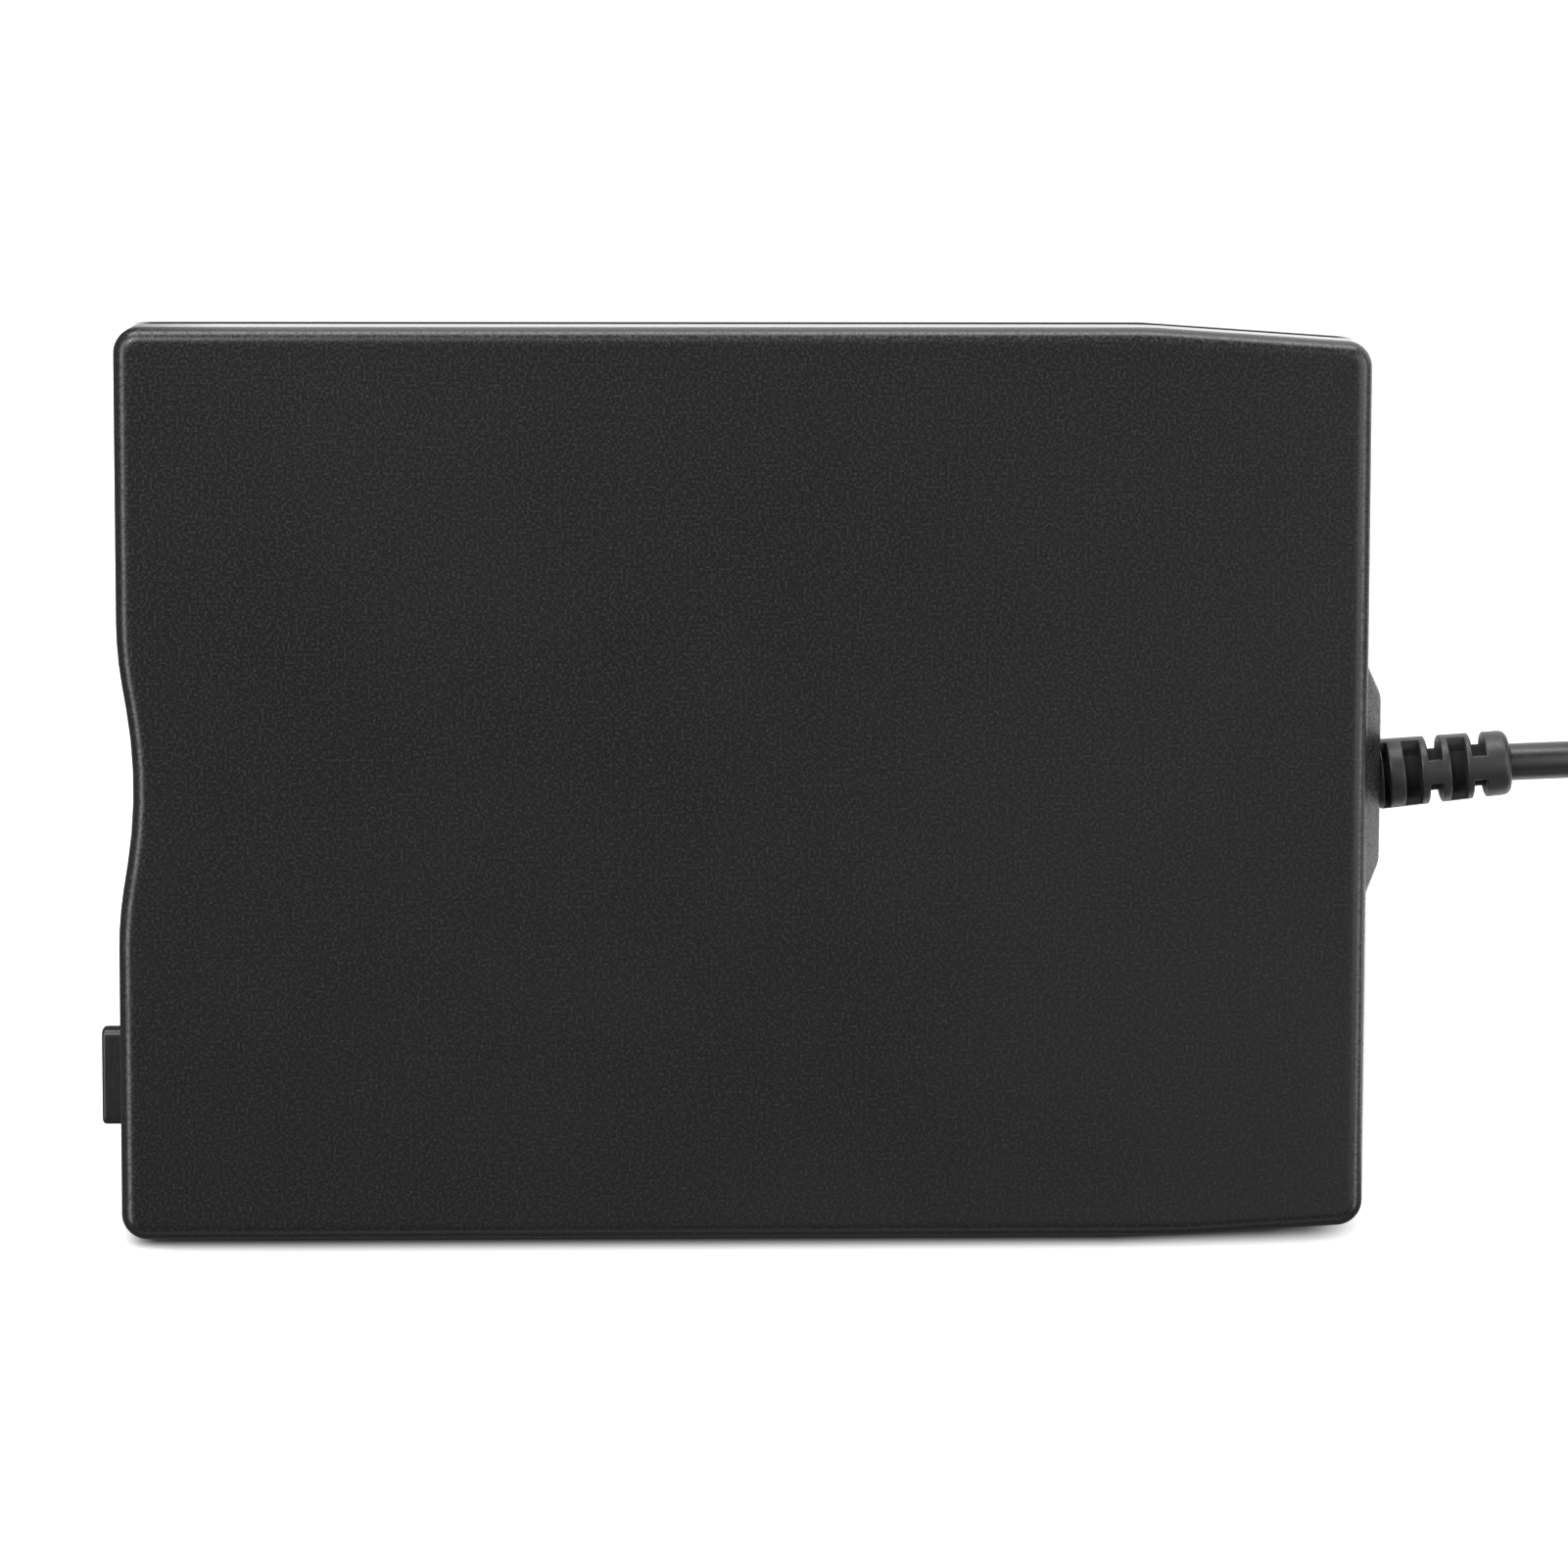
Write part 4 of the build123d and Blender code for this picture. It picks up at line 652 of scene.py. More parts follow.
def mesh_of(name: str, points: Iterable[Point], faces: Iterable[Sequence[int]]) -> Mesh:
    """Make a mesh in metres from points in millimetres, with its normals outwards.

    Args:
        name: Its name.
        points: The points.
        faces: The point numbers of each face.

    Returns:
        The mesh.
    """
    mesh = bpy.data.meshes.new(name)
    mesh.from_pydata([metres(p) for p in points], [], [tuple(f) for f in faces])
    work = bmesh.new()
    work.from_mesh(mesh)
    bmesh.ops.recalc_face_normals(work, faces=work.faces)
    work.to_mesh(mesh)
    work.free()
    return mesh


def bands(count: int, levels: int, around: bool = False) -> list[Sequence[int]]:
    """Faces between rings of points.

    Args:
        count: Points in each ring.
        levels: How many rings there are.
        around: Whether the last ring is joined to the first one.

    Returns:
        The point numbers of each face.
    """
    faces = []
    for level in range(levels if around else levels - 1):
        here, there = level * count, (level + 1) % levels * count
        for i in range(count):
            j = (i + 1) % count
            faces.append((here + i, here + j, there + j, there + i))
    return faces


def hoop(name: str, loops: Sequence[Sequence[Point]]) -> Mesh:
    """A closed band from loops of equally many points, the last of them joined to the first."""
    points = [p for loop in loops for p in loop]
    return mesh_of(name, points, bands(len(loops[0]), len(loops), around=True))


def loft(name: str, rings: Sequence[Sequence[Point]], angle: float = SHARP_ANGLE) -> Object:
    """Join rings of equally many points with faces, and close both ends.

    Args:
        name: The object's name.
        rings: The rings, in order, each a closed loop in millimetres.
        angle: Edges sharper than this are shaded sharp.

    Returns:
        The closed object.
    """
    count = len(rings[0])
    points = [p for ring in rings for p in ring]
    ends = [range(count), range(len(points) - count, len(points))]
    mesh = mesh_of(name, points, [*ends, *bands(count, len(rings))])
    smooth(mesh, angle)
    return link(name, mesh)


def circles(profile: Sequence[Pair], steps: int) -> list[list[Point]]:
    """The rings that a profile of (radius, height) stations makes when it turns about Z."""
    turns = [2 * math.pi * i / steps for i in range(steps)]
    return [[(r * math.cos(t), r * math.sin(t), z) for t in turns] for r, z in profile]


def turned(name: str, profile: Sequence[Pair], steps: int = 48) -> Object:
    """Turn a profile of (radius, height) stations about Z; its first and last radius make flat ends."""
    return loft(name, circles(profile, steps))


def block(name: str, low: Point, high: Point) -> Object:
    """A plain box between two corners, in millimetres.

    Args:
        name: Its name.
        low: The lowest corner.
        high: The highest one.

    Returns:
        The closed object.
    """
    (x0, y0, z0), (x1, y1, z1) = low, high
    rings = [[(x0, y0, z), (x1, y0, z), (x1, y1, z), (x0, y1, z)] for z in (z0, z1)]
    return loft(name, rings)


def rod(radius: float, start: Point, end: Point) -> Object:
    """A round cutter or post between two points.

    Args:
        radius: Its radius, in millimetres.
        start: The middle of one end, in millimetres.
        end: The middle of the other end.

    Returns:
        The closed object.
    """
    obj = turned("rod", [(radius, 0), (radius, math.dist(start, end))])
    direction = Vector(end) - Vector(start)
    turn = direction.to_track_quat("Z", "Y").to_matrix().to_4x4()
    obj.data.transform(Matrix.Translation(Vector(start) * MM) @ turn)
    return obj


def rounded_rectangle(width: float, height: float, radius: float, steps: int = 8) -> list[Pair]:
    """Points of a rectangle with rounded corners, counter-clockwise about its middle.

    Args:
        width: Its width.
        height: Its height.
        radius: Radius of its corners.
        steps: Steps in each corner.

    Returns:
        The points.
    """
    points = []
    for quarter, (sx, sy) in enumerate(((1, 1), (-1, 1), (-1, -1), (1, -1))):
        centre = (sx * (width / 2 - radius), sy * (height / 2 - radius))
        for step in range(steps + 1):
            turn = math.radians(90 * (quarter + step / steps))
            points.append((centre[0] + radius * math.cos(turn), centre[1] + radius * math.sin(turn)))
    return points


def baked(obj: Object) -> Object:
    """Apply an object's modifiers by taking its evaluated mesh.

    Args:
        obj: The object.

    Returns:
        The same object, with a new mesh.
    """
    bpy.context.view_layer.update()
    shape = obj.evaluated_get(bpy.context.evaluated_depsgraph_get())
    mesh = bpy.data.meshes.new_from_object(shape)
    obj.modifiers.clear()
    obj.data = mesh
    return obj


def combined(obj: Object, tool: Object, operation: str) -> None:
    """Cut, join or keep the common part of an object and a tool, and drop the tool.

    Args:
        obj: The object.
        tool: The tool.
        operation: DIFFERENCE, UNION or INTERSECT.
    """
    step = obj.modifiers.new("combine", "BOOLEAN")
    step.object = tool
    step.operation = operation
    step.solver = "EXACT"
    baked(obj)
    bpy.data.objects.remove(tool)


def cleaned(obj: Object, angle: float = SHARP_ANGLE) -> None:
    """Merge doubled points, drop slivers and shade an object that booleans made.

    Args:
        obj: The object.
        angle: Edges sharper than this are shaded sharp.
    """
    work = bmesh.new()
    work.from_mesh(obj.data)
    bmesh.ops.remove_doubles(work, verts=work.verts, dist=DOUBLED)
    bmesh.ops.dissolve_degenerate(work, edges=work.edges, dist=TINY)
    work.to_mesh(obj.data)
    work.free()
    smooth(obj.data, angle)


def note(mesh: Mesh, name: str, values: Sequence[float]) -> None:
    """Write one value for each point of a mesh into an attribute."""
    mesh.attributes.new(name, "FLOAT", "POINT").data.foreach_set("value", values)


def note_walls(mesh: Mesh) -> None:
    """Write how upright the surface stands at each point into the attribute "wall"."""
    steepest = 4.0
    note(mesh, "wall", [max(0.0, 1.0 - abs(v.normal.z) * steepest) for v in mesh.vertices])


def coated(obj: Object, slot: str, paints: Paintbox) -> None:
    """Give an object the one material of a slot."""
    obj.data.materials.clear()
    obj.data.materials.append(paints.get(slot))


def handed_over(obj: Object, slot: str, body: str, *nodes: str) -> Object:
    """Hang a finished piece on its body, hide the CAD nodes that it stands for and log them.

    Args:
        obj: The piece.
        slot: Its material slot; not used.
        body: The body it rides on.
        nodes: The CAD nodes it stands for.

    Returns:
        The piece.
    """
    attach(obj, body)
    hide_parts(*nodes)
    log.info("%s: stands for %s", obj.name, ", ".join(nodes))
    return obj


def is_closed(mesh: Mesh) -> bool:
    """Whether every edge of a mesh has two faces.

    Args:
        mesh: The mesh.

    Returns:
        True if none is open or shared by more.
    """
    work = bmesh.new()
    work.from_mesh(mesh)
    closed = all(len(edge.link_faces) == 2 for edge in work.edges)
    work.free()
    return closed


def merged_copy(node: str) -> Mesh:
    """A copy of a CAD node's mesh with its loose triangles merged into flat faces.

    Args:
        node: The node.

    Returns:
        The copy.
    """
    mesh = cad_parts[node].data.copy()
    work = bmesh.new()
    work.from_mesh(mesh)
    bmesh.ops.remove_doubles(work, verts=work.verts, dist=TINY)
    flat = math.radians(FLAT_ANGLE)
    bmesh.ops.dissolve_limit(work, angle_limit=flat, verts=work.verts, edges=work.edges)
    bmesh.ops.recalc_face_normals(work, faces=work.faces)
    work.to_mesh(mesh)
    work.free()
    return mesh


def dressed(node: str, slot: str, body: str, bevel: float, paints: Paintbox) -> Object:
    """Stand a softened copy in for a CAD node.

    Args:
        node: The CAD node.
        slot: Its material slot.
        body: The body it rides on.
        bevel: Width of the rounding on its edges, in millimetres; none if 0.
        paints: The finishes.

    Returns:
        The piece, named after the node.
    """
    plain = merged_copy(node)
    obj = link(node + "_look", plain.copy())
    if bevel > 0:
        step = obj.modifiers.new("edges", "BEVEL")
        step.width = bevel * MM
        step.segments = BEVEL_SEGMENTS[bevel >= WIDE_BEVEL]
        step.limit_method = "ANGLE"
        step.angle_limit = math.radians(BEVEL_ANGLE)
        baked(obj)
        if not is_closed(obj.data):
            log.warning("%s keeps its plain edges", node)
            obj.data = plain
    smooth(obj.data)
    coated(obj, slot, paints)
    return handed_over(obj, slot, body, node)


# ---------------------------------------------------------------------------------------------------------
# Patterns of equal parts
# ---------------------------------------------------------------------------------------------------------


class Pattern:
    """Geometry nodes that stand a piece on every point of a mesh."""

    INPUTS = (
        ("Points", "NodeSocketGeometry"),
        ("Piece", "NodeSocketObject"),
        ("Finish", "NodeSocketMaterial"),
        ("Size", "NodeSocketFloat"),
    )
    NODES = {
        "start": "NodeGroupInput",
        "piece": "GeometryNodeObjectInfo",
        "stand": "GeometryNodeInstanceOnPoints",
        "real": "GeometryNodeRealizeInstances",
        "paint": "GeometryNodeSetMaterial",
        "end": "NodeGroupOutput",
    }
    LINKS = (
        ("start", "Piece", "piece", "Object"),
        ("start", "Points", "stand", "Points"),
        ("piece", "Geometry", "stand", "Instance"),
        ("start", "Size", "stand", "Scale"),
        ("stand", "Instances", "real", "Geometry"),
        ("real", "Geometry", "paint", "Geometry"),
        ("start", "Finish", "paint", "Material"),
        ("paint", "Geometry", "end", "Geometry"),
    )

    def __init__(self) -> None:
        """Build the node group."""
        self.group = bpy.data.node_groups.new("stand_on_points", "GeometryNodeTree")
        face = self.group.interface
        self.sockets = {}
        for name, kind in self.INPUTS:
            self.sockets[name] = face.new_socket(name, in_out="INPUT", socket_type=kind).identifier
        face.new_socket("Geometry", in_out="OUTPUT", socket_type="NodeSocketGeometry")
        nodes = {name: self.group.nodes.new(kind) for name, kind in self.NODES.items()}
        for first, output, second, target in self.LINKS:
            self.group.links.new(nodes[first].outputs[output], nodes[second].inputs[target])

    def stand(self, name: str, piece: Object, places: Sequence[Point], finish: Material) -> Object:
        """Stand copies of a piece on places, as one object.

        Args:
            name: The object's name.
            piece: The piece, around the origin; it is dropped afterwards.
            places: Where the copies go, in millimetres.
            finish: Their material.

        Returns:
            The realised object.
        """
        mesh = bpy.data.meshes.new(name)
        mesh.from_pydata([metres(p) for p in places], [], [])
        obj = link(name, mesh)
        step = obj.modifiers.new("pattern", "NODES")
        step.node_group = self.group
        step[self.sockets["Piece"]] = piece
        step[self.sockets["Finish"]] = finish
        step[self.sockets["Size"]] = 1.0
        baked(obj)
        bpy.data.objects.remove(piece)
        log.info("%s: %d copies", name, len(places))
        return obj


# ---------------------------------------------------------------------------------------------------------
# Case
# ---------------------------------------------------------------------------------------------------------


@dataclass(frozen=True)
class CasePlan:
    """Plan outline of the case, in millimetres, with a thumb recess in front and a taper at the rear.

    Attributes:
        half_width: Half the width.
        half_length: Half the length.
        corner: Radius of the corners.
        recess_half: Half the width of the thumb recess, where its lead-ins start.
        recess_depth: Depth of the recess.
        lean: Slope of its flanks.
        lead_radius: Radius of its lead-ins.
        far_taper: Depth and length of the rear taper on the -X side.
        near_taper: The same on the +X side.
        shoulder: Radius where a taper starts.
        pitch: Longest step along an arc.
        turn: Largest turn between two samples of an arc.
        run: Longest step along a straight stretch.
    """

    half_width: float = 52.0
    half_length: float = 71.0
    corner: float = 3.0
    recess_half: float = 18.7
    recess_depth: float = 1.79
    lean: float = math.radians(9.5)
    lead_radius: float = 43.0
    far_taper: Pair = (1.7, 25.0)
    near_taper: Pair = (1.23, 21.2)
    shoulder: float = 50.0
    pitch: float = 4.0
    turn: float = math.radians(7)
    run: float = 12.0

    def arc(self, centre: Pair, radius: float, start: float, sweep: float) -> list[Sample]:
        """Samples of an arc: x, y and the outward normal, for an outline that runs counter-clockwise.

        Args:
            centre: Its middle.
            radius: Its radius.
            start: The angle that it starts at.
            sweep: The angle that it turns through; it is hollow where this is negative.

        Returns:
            The samples.
        """
        size = abs(sweep)
        steps = max(3, math.ceil(size / self.turn), math.ceil(size * radius / self.pitch))
        side = 1 if sweep > 0 else -1
        samples = []
        for step in range(steps + 1):
            turn = start + sweep * step / steps
            nx, ny = math.cos(turn), math.sin(turn)
            samples.append((centre[0] + radius * nx, centre[1] + radius * ny, side * nx, side * ny))
        return samples

    def bend(self, corner: Pair, before: float, after: float, radius: float) -> list[Sample]:
        """Samples of the rounding at a corner between two headings.

        Args:
            corner: The corner, if it were sharp.
            before: The heading that leads to it.
            after: The heading that leaves it.
            radius: Radius of the rounding.

        Returns:
            The samples.
        """
        sweep = after - before
        back = radius * math.tan(sweep / 2)
        start = (corner[0] - back * math.cos(before), corner[1] - back * math.sin(before))
        centre = (start[0] - radius * math.sin(before), start[1] + radius * math.cos(before))
        return self.arc(centre, radius, before - math.pi / 2, sweep)

    def samples(self) -> list[Sample]:
        """The whole outline as x, y and outward normal.

        Returns:
            The samples, counter-clockwise from the thumb recess.
        """
        lean = self.lean
        fall = self.recess_half * math.sin(lean) - self.recess_depth * math.cos(lean)
        chord = fall / (1 - math.cos(lean))
        flank = (self.recess_half - chord * math.sin(lean)) / math.cos(lean)
        front = -self.half_length
        quarter = math.pi / 2
        lead_in = self.arc((-self.recess_half, front + self.lead_radius), self.lead_radius, -quarter, lean)
        x, y = lead_in[-1][:2]
        x, y = x + flank * math.cos(lean), y + flank * math.sin(lean)
        floor_radius = chord - self.lead_radius
        middle = (x + floor_radius * math.sin(lean), y - floor_radius * math.cos(lean))
        floor = self.arc(middle, floor_radius, lean + quarter, -2 * lean)
        near = self.side(*self.near_taper)
        far = self.mirrored(self.side(*self.far_taper))
        return self.filled([*lead_in, *floor, *self.mirrored(lead_in), *near, *far])

    def mirrored(self, samples: list[Sample]) -> list[Sample]:
        """The samples of the other side, in the order that the outline runs in."""
        return [(-x, y, -nx, ny) for x, y, nx, ny in reversed(samples)]

    def side(self, depth: float, length: float) -> list[Sample]:
        """Samples of the +X side from its front corner to its rear one, for one taper.

        Args:
            depth: Depth of the taper.
            length: Its length.

        Returns:
            The samples.
        """
        quarter = math.pi / 2
        slope = math.atan2(length, -depth)
        return [
            *self.bend((self.half_width, -self.half_length), 0, quarter, self.corner),
            *self.bend((self.half_width, self.half_length - length), quarter, slope, self.shoulder),
            *self.bend((self.half_width - depth, self.half_length), slope, 2 * quarter, self.corner),
        ]

    def filled(self, samples: list[Sample]) -> list[Sample]:
        """The samples with the long straight runs between them divided up.

        Args:
            samples: The samples of the arcs.

        Returns:
            All samples.
        """
        full = []
        for here, there in zip(samples, samples[1:] + samples[:1]):
            full.append(here)
            steps = int(math.dist(here[:2], there[:2]) / self.run)
            for step in range(1, steps + 1):
                share = step / (steps + 1)
                full.append(tuple(a + (b - a) * share for a, b in zip(here, there)))
        return full

    def ring(self, inset: float, height: float) -> list[Point]:
        """The outline drawn in by an inset, at a height."""
        return [(x - nx * inset, y - ny * inset, height) for x, y, nx, ny in self.samples()]


@dataclass(frozen=True)
class Shell:
    """One moulded half of the case.

    Attributes:
        name: Node it stands for.
        outside: Height of its large outer face.
        inside: Height of the inner face behind it.
        seam: Height of the seam.
        rebate: Inset and height of the step at the seam.
        window: Heights between which the front wall is cut out for the panel.
        boss_span: Heights between which the shell carries its half of the boss.
        draft: How far the wall leans in between the seam and the outer face's fillet.
        wall: Thickness of the walls.
        fillet: Radius of the rim.
        chamfer: Size of the chamfer at the seam.
        land: Height of the upright strip beside that chamfer.
        rim: How far the outer face's own ring lies inside the fillet.
        steps: Faces across the fillet.
    """

    name: str
    outside: float
    inside: float
    seam: float
    rebate: Pair
    window: Pair
    boss_span: Pair
    draft: float = 0.0
    wall: float = 1.8
    fillet: float = 1.8
    chamfer: float = 0.25
    land: float = 0.3
    rim: float = 0.5
    steps: int = 8

    def stations(self) -> list[Pair]:
        """Inset and height of each ring, from the outer face round the rim to the inner face.

        Returns:
            The stations.
        """
        up = 1 if self.outside > self.seam else -1
        turns = [math.pi / 2 * i / self.steps for i in range(self.steps + 1)]
        edge = []
        for t in turns:
            inset = self.draft + self.fillet * (1 - math.sin(t))
            edge.append((inset, self.outside - up * self.fillet * (1 - math.cos(t))))
        inset, height = self.rebate
        nick = self.chamfer * 0.3
        return [
            (self.draft + self.fillet + self.rim, self.outside),
            *edge,
            (0, self.seam + up * (self.chamfer + self.land)),
            (0, self.seam + up * self.chamfer),
            (nick, self.seam + up * nick),
            (self.chamfer, self.seam),
            (inset, self.seam),
            (inset, height),
            (self.wall, height),
            (self.wall, self.inside),
        ]

    def build(self, plan: CasePlan) -> Object:
        """Loft the shell."""
        return loft(self.name + "_look", [plan.ring(inset, height) for inset, height in self.stations()])


@dataclass(frozen=True)
class Boss:
    """Tapered boss that the lead comes out of.

    Attributes:
        x: Its middle.
        y: The case's rear wall, where it starts.
        z: Its middle height.
        base: Width and height at the wall.
        face: Width and height at its far face.
        depth: How far it stands out.
        corner: Radius of its corners.
        reach: Corners of the space it is kept in, seen from above.
    """

    x: float = -0.4
    y: float = 71.0
    z: float = 9.5
    base: Pair = (26.4, 13.6)
    face: Pair = (19.3, 8.6)
    depth: float = 1.85
    corner: float = 0.8
    reach: tuple[Pair, Pair] = ((-40.0, 60.0), (40.0, 80.0))

    RIM = ((-0.6, 0.0), (0.0, 0.0), (0.86, 0.0), (0.96, 0.12), (1.0, 0.4))

    def half(self, low: float, high: float) -> Object:
        """The boss between two heights, with a rounded front edge.

        Args:
            low: The lower height.
            high: The upper one.

        Returns:
            That part of the boss.
        """
        rings = []
        for share, shrink in self.RIM:
            tilt = max(share, 0)
            width, height = (b + (f - b) * tilt - 2 * shrink for b, f in zip(self.base, self.face))
            y = self.y + share * self.depth
            outline = rounded_rectangle(width, height, self.corner)
            rings.append([(self.x - across, y, self.z + up) for across, up in outline])
        boss = loft("boss", rings)
        near, far = self.reach
        combined(boss, block("keep", (*near, low), (*far, high)), "INTERSECT")
        return boss


@dataclass(frozen=True)
class Bore:
    """An upright round post or hole, from its radius and the heights that it lies between."""

    radius: float
    low: float
    high: float
    operation: str = "DIFFERENCE"

    def work(self, obj: Object, x: float, y: float) -> None:
        """Add it to an object or cut it out, at a place."""
        combined(obj, rod(self.radius, (x, y, self.low), (x, y, self.high)), self.operation)


@dataclass
class Case:
    """The two shells, with their window, bores, recesses and boss.

    Attributes:
        paints: The finishes.
        plan: Outline of the case.
        boss: The boss at the rear.
        window: Corners of the front window, seen from above.
        lead_bore: Radius of the bore for the lead.
        bore_run: Where that bore starts and ends along Y.
        label: Width, length and corner radius of the bare label recess.
        label_span: Heights that its cutter lies between.
    """

    paints: Paintbox
    plan: CasePlan = field(default_factory=CasePlan)
    boss: Boss = field(default_factory=Boss)
    window: tuple[Pair, Pair] = ((-48.0, -72.0), (48.0, -67.4))
    lead_bore: float = 3.6
    bore_run: Pair = (68.2, 74.0)
    label: Point = (36.0, 62.0, 1.5)
    label_span: Pair = (0.5, 1.2)

    TOP = Shell("top_cover", 18.0, 16.4, 9.5, (0.9, 10.8), (8.5, 15.2), (9.5, 17.5))
    BOTTOM = Shell("bottom_cover", 1.0, 2.6, 9.5, (1.0, 10.7), (4.4, 12.0), (1.5, 9.5), draft=0.22)
    SCREWS = ((44.5, 64.2), (-44.5, 64.2))
    DRIVE_SCREWS = ((33.0, -48.0), (33.0, 38.0), (-33.0, -48.0), (-33.0, 38.0))
    FEET = ((43.0, -60.0), (43.0, 52.0), (-43.0, -60.0), (-43.0, 52.0))

    TOP_BORES = ((SCREWS, (Bore(3.0, 9.2, 16.6, "UNION"), Bore(1.02, 9.0, 13.7))),)
    BOTTOM_BORES = (
        (SCREWS, (Bore(3.0, 2.5, 9.2, "UNION"), Bore(1.2, 2.0, 9.4), Bore(2.0, 0.5, 2.6))),
        (DRIVE_SCREWS, (Bore(3.0, 2.5, 2.9, "UNION"), Bore(1.2, 0.5, 3.1), Bore(2.0, 0.5, 2.0))),
        (FEET, (Bore(4.55, 0.5, 1.5),)),
    )

    def build(self) -> None:
        """Build and dress both shells."""
        for shell, bores in ((self.TOP, self.TOP_BORES), (self.BOTTOM, self.BOTTOM_BORES)):
            obj = shell.build(self.plan)
            near, far = self.window
            low, high = shell.window
            combined(obj, block("window", (*near, low), (*far, high)), "DIFFERENCE")
            combined(obj, self.boss.half(*shell.boss_span), "UNION")
            start, end = ((self.boss.x, y, self.boss.z) for y in self.bore_run)
            combined(obj, rod(self.lead_bore, start, end), "DIFFERENCE")
            for places, kinds in bores:
                for x, y in places:
                    for bore in kinds:
                        bore.work(obj, x, y)
            if shell is self.BOTTOM:
                self.cut_label(obj)
            cleaned(obj)
            note_walls(obj.data)
            coated(obj, "case", self.paints)
            handed_over(obj, "case", "root", shell.name)

    def cut_label(self, obj: Object) -> None:
        """The bare label recess in the underside.

        Args:
            obj: The bottom shell.
        """
        outline = rounded_rectangle(*self.label)
        rings = [[(x, y, z) for x, y in outline] for z in self.label_span]
        combined(obj, loft("label", rings), "DIFFERENCE")


# ---------------------------------------------------------------------------------------------------------
# Strain relief and lead
# ---------------------------------------------------------------------------------------------------------


class Slot(Enum):
    """Which way a slot is cut into the strain relief, and so where its webs stay."""

    WHOLE = "whole"
    UPPER = "upper"
    SIDE = "side"


@dataclass
class StrainRelief:
    """Slotted rubber sleeve around the lead, leaning a little to -X.

    SLOTS says where each slot starts and ends along the sleeve. NECK has the Y and the radius of the rings
    inside the wall. WEB_ANGLES, in degrees, cover an eighth of a ring.

    Attributes:
        paints: The finishes.
        root: Middle of its near end.
        axis: The way it points.
        length: Its length.
        radii: Outer radius at its root and at its tip.
        core: Radius at the bottom of a slot.
        web: Width of the webs that bridge a slot.
        edge: Rounding of the edges beside a slot.
        roundings: How many such roundings a narrow land has room for.
        tip_edge: Rounding at the tip.
        throat: Radius of the opening for the lead.
        plain_tip: Length at the tip that has no slot.
        shade_depths: Depths at which a slot starts to get its painted shade and dullness, and has them in
            full.
        sharp: Edges sharper than this are shaded sharp.
    """

    paints: Paintbox
    root: Point = (-0.4, 73.222, 9.5)
    axis: Point = (-0.0924, 0.9957, 0.0)
    length: float = 15.0
    radii: Pair = (4.03, 3.7)
    core: float = 2.4
    web: float = 2.7
    edge: float = 0.28
    roundings: float = 2.5
    tip_edge: float = 0.9
    throat: float = 2.2
    plain_tip: float = 1.5
    shade_depths: Pair = (0.45, 0.95)
    sharp: float = 40.0

    SLOTS = (
        (0.1, 0.8, Slot.UPPER),
        (2.7, 4.5, Slot.UPPER),
        (5.5, 6.95, Slot.SIDE),
        (8.0, 9.8, Slot.UPPER),
        (10.6, 12.05, Slot.SIDE),
    )
    NECK = ((67.5, 4.8), (69.1, 4.8), (69.1, 3.5), (72.6, 3.5))
    WEB_ANGLES = (0, 6, 12, 16, 18.5, 20, 21.5, 24, 27, 30, 34, 39, 45)
    EDGE_STEPS = (0.0, 0.3, 0.62, 1.0)
    TIP_STEPS = (0.0, 0.25, 0.5, 0.7, 0.85, 0.95, 1.0)

    def turns(self) -> list[float]:
        """Angles around the sleeve, closer together beside the webs.

        Returns:
            The angles, in radians.
        """
        eighth = list(self.WEB_ANGLES)
        quarter = eighth + [90 - a for a in reversed(eighth[1:-1])]
        return [math.radians(90 * q + a) for q in range(4) for a in quarter]

    def outer(self, along: float) -> float:
        """Outer radius at a distance along the sleeve."""
        return self.radii[0] + (self.radii[1] - self.radii[0]) * along / self.length

    def radius(self, turn: float, outer: float, slot: Slot) -> float:
        """Radius of a slotted ring at one angle.

        Args:
            turn: The angle, in radians.
            outer: Radius of the sleeve there.
            slot: Which way the slot is cut.

        Returns:
            The radius: the sleeve's own on a web, and the core's elsewhere.
        """
        if slot is Slot.WHOLE:
            return outer
        across = abs(math.sin(turn)) if slot is Slot.UPPER else abs(math.cos(turn))
        reach = self.web / 2 / max(across, TINY)
        return max(self.core, min(outer, reach))

    def around(
        self, along: float, radius_at: Callable[[float], float], straight: bool = False
    ) -> list[Point]:
        """One ring about the sleeve's line.

        Args:
            along: Its distance from the root.
            radius_at: Gives its radius at an angle.
            straight: Whether it is square to the wall, as the neck's rings are.

        Returns:
            Its points.
        """
        axis = Vector((0, 1, 0)) if straight else Vector(self.axis).normalized()
        across = Vector((axis.y, -axis.x, 0))
        middle = Vector(self.root) + axis * along
        points = []
        for turn in self.turns():
            r = radius_at(turn)
            points.append(tuple(middle + across * (r * math.cos(turn)) + Vector((0, 0, r * math.sin(turn)))))
        return points

    def slotted(self, along: float, slot: Slot) -> list[Point]:
        """A ring at the wall of a slot."""
        return self.around(along, lambda turn: self.radius(turn, self.outer(along), slot))

    def rounded(self, along: float, edge: float, share: float, slot: Slot) -> list[Point]:
        """A ring of a land whose edge is rounded off, but no deeper than the slot beside it.

        Args:
            along: Its distance from the root.
            edge: Size of the rounding.
            share: How far through the rounding the ring lies, 1 at its end.
            slot: The slot beside the land.

        Returns:
            Its points.
        """
        full = self.outer(along)
        drop = edge * (1 - math.sqrt(1 - share * share))

        def radius_at(turn: float) -> float:
            """Radius of the ring at an angle."""
            low = 0.0 if slot is Slot.WHOLE else self.radius(turn, full, slot)
            return max(full - drop, min(low, full))

        return self.around(along, radius_at)

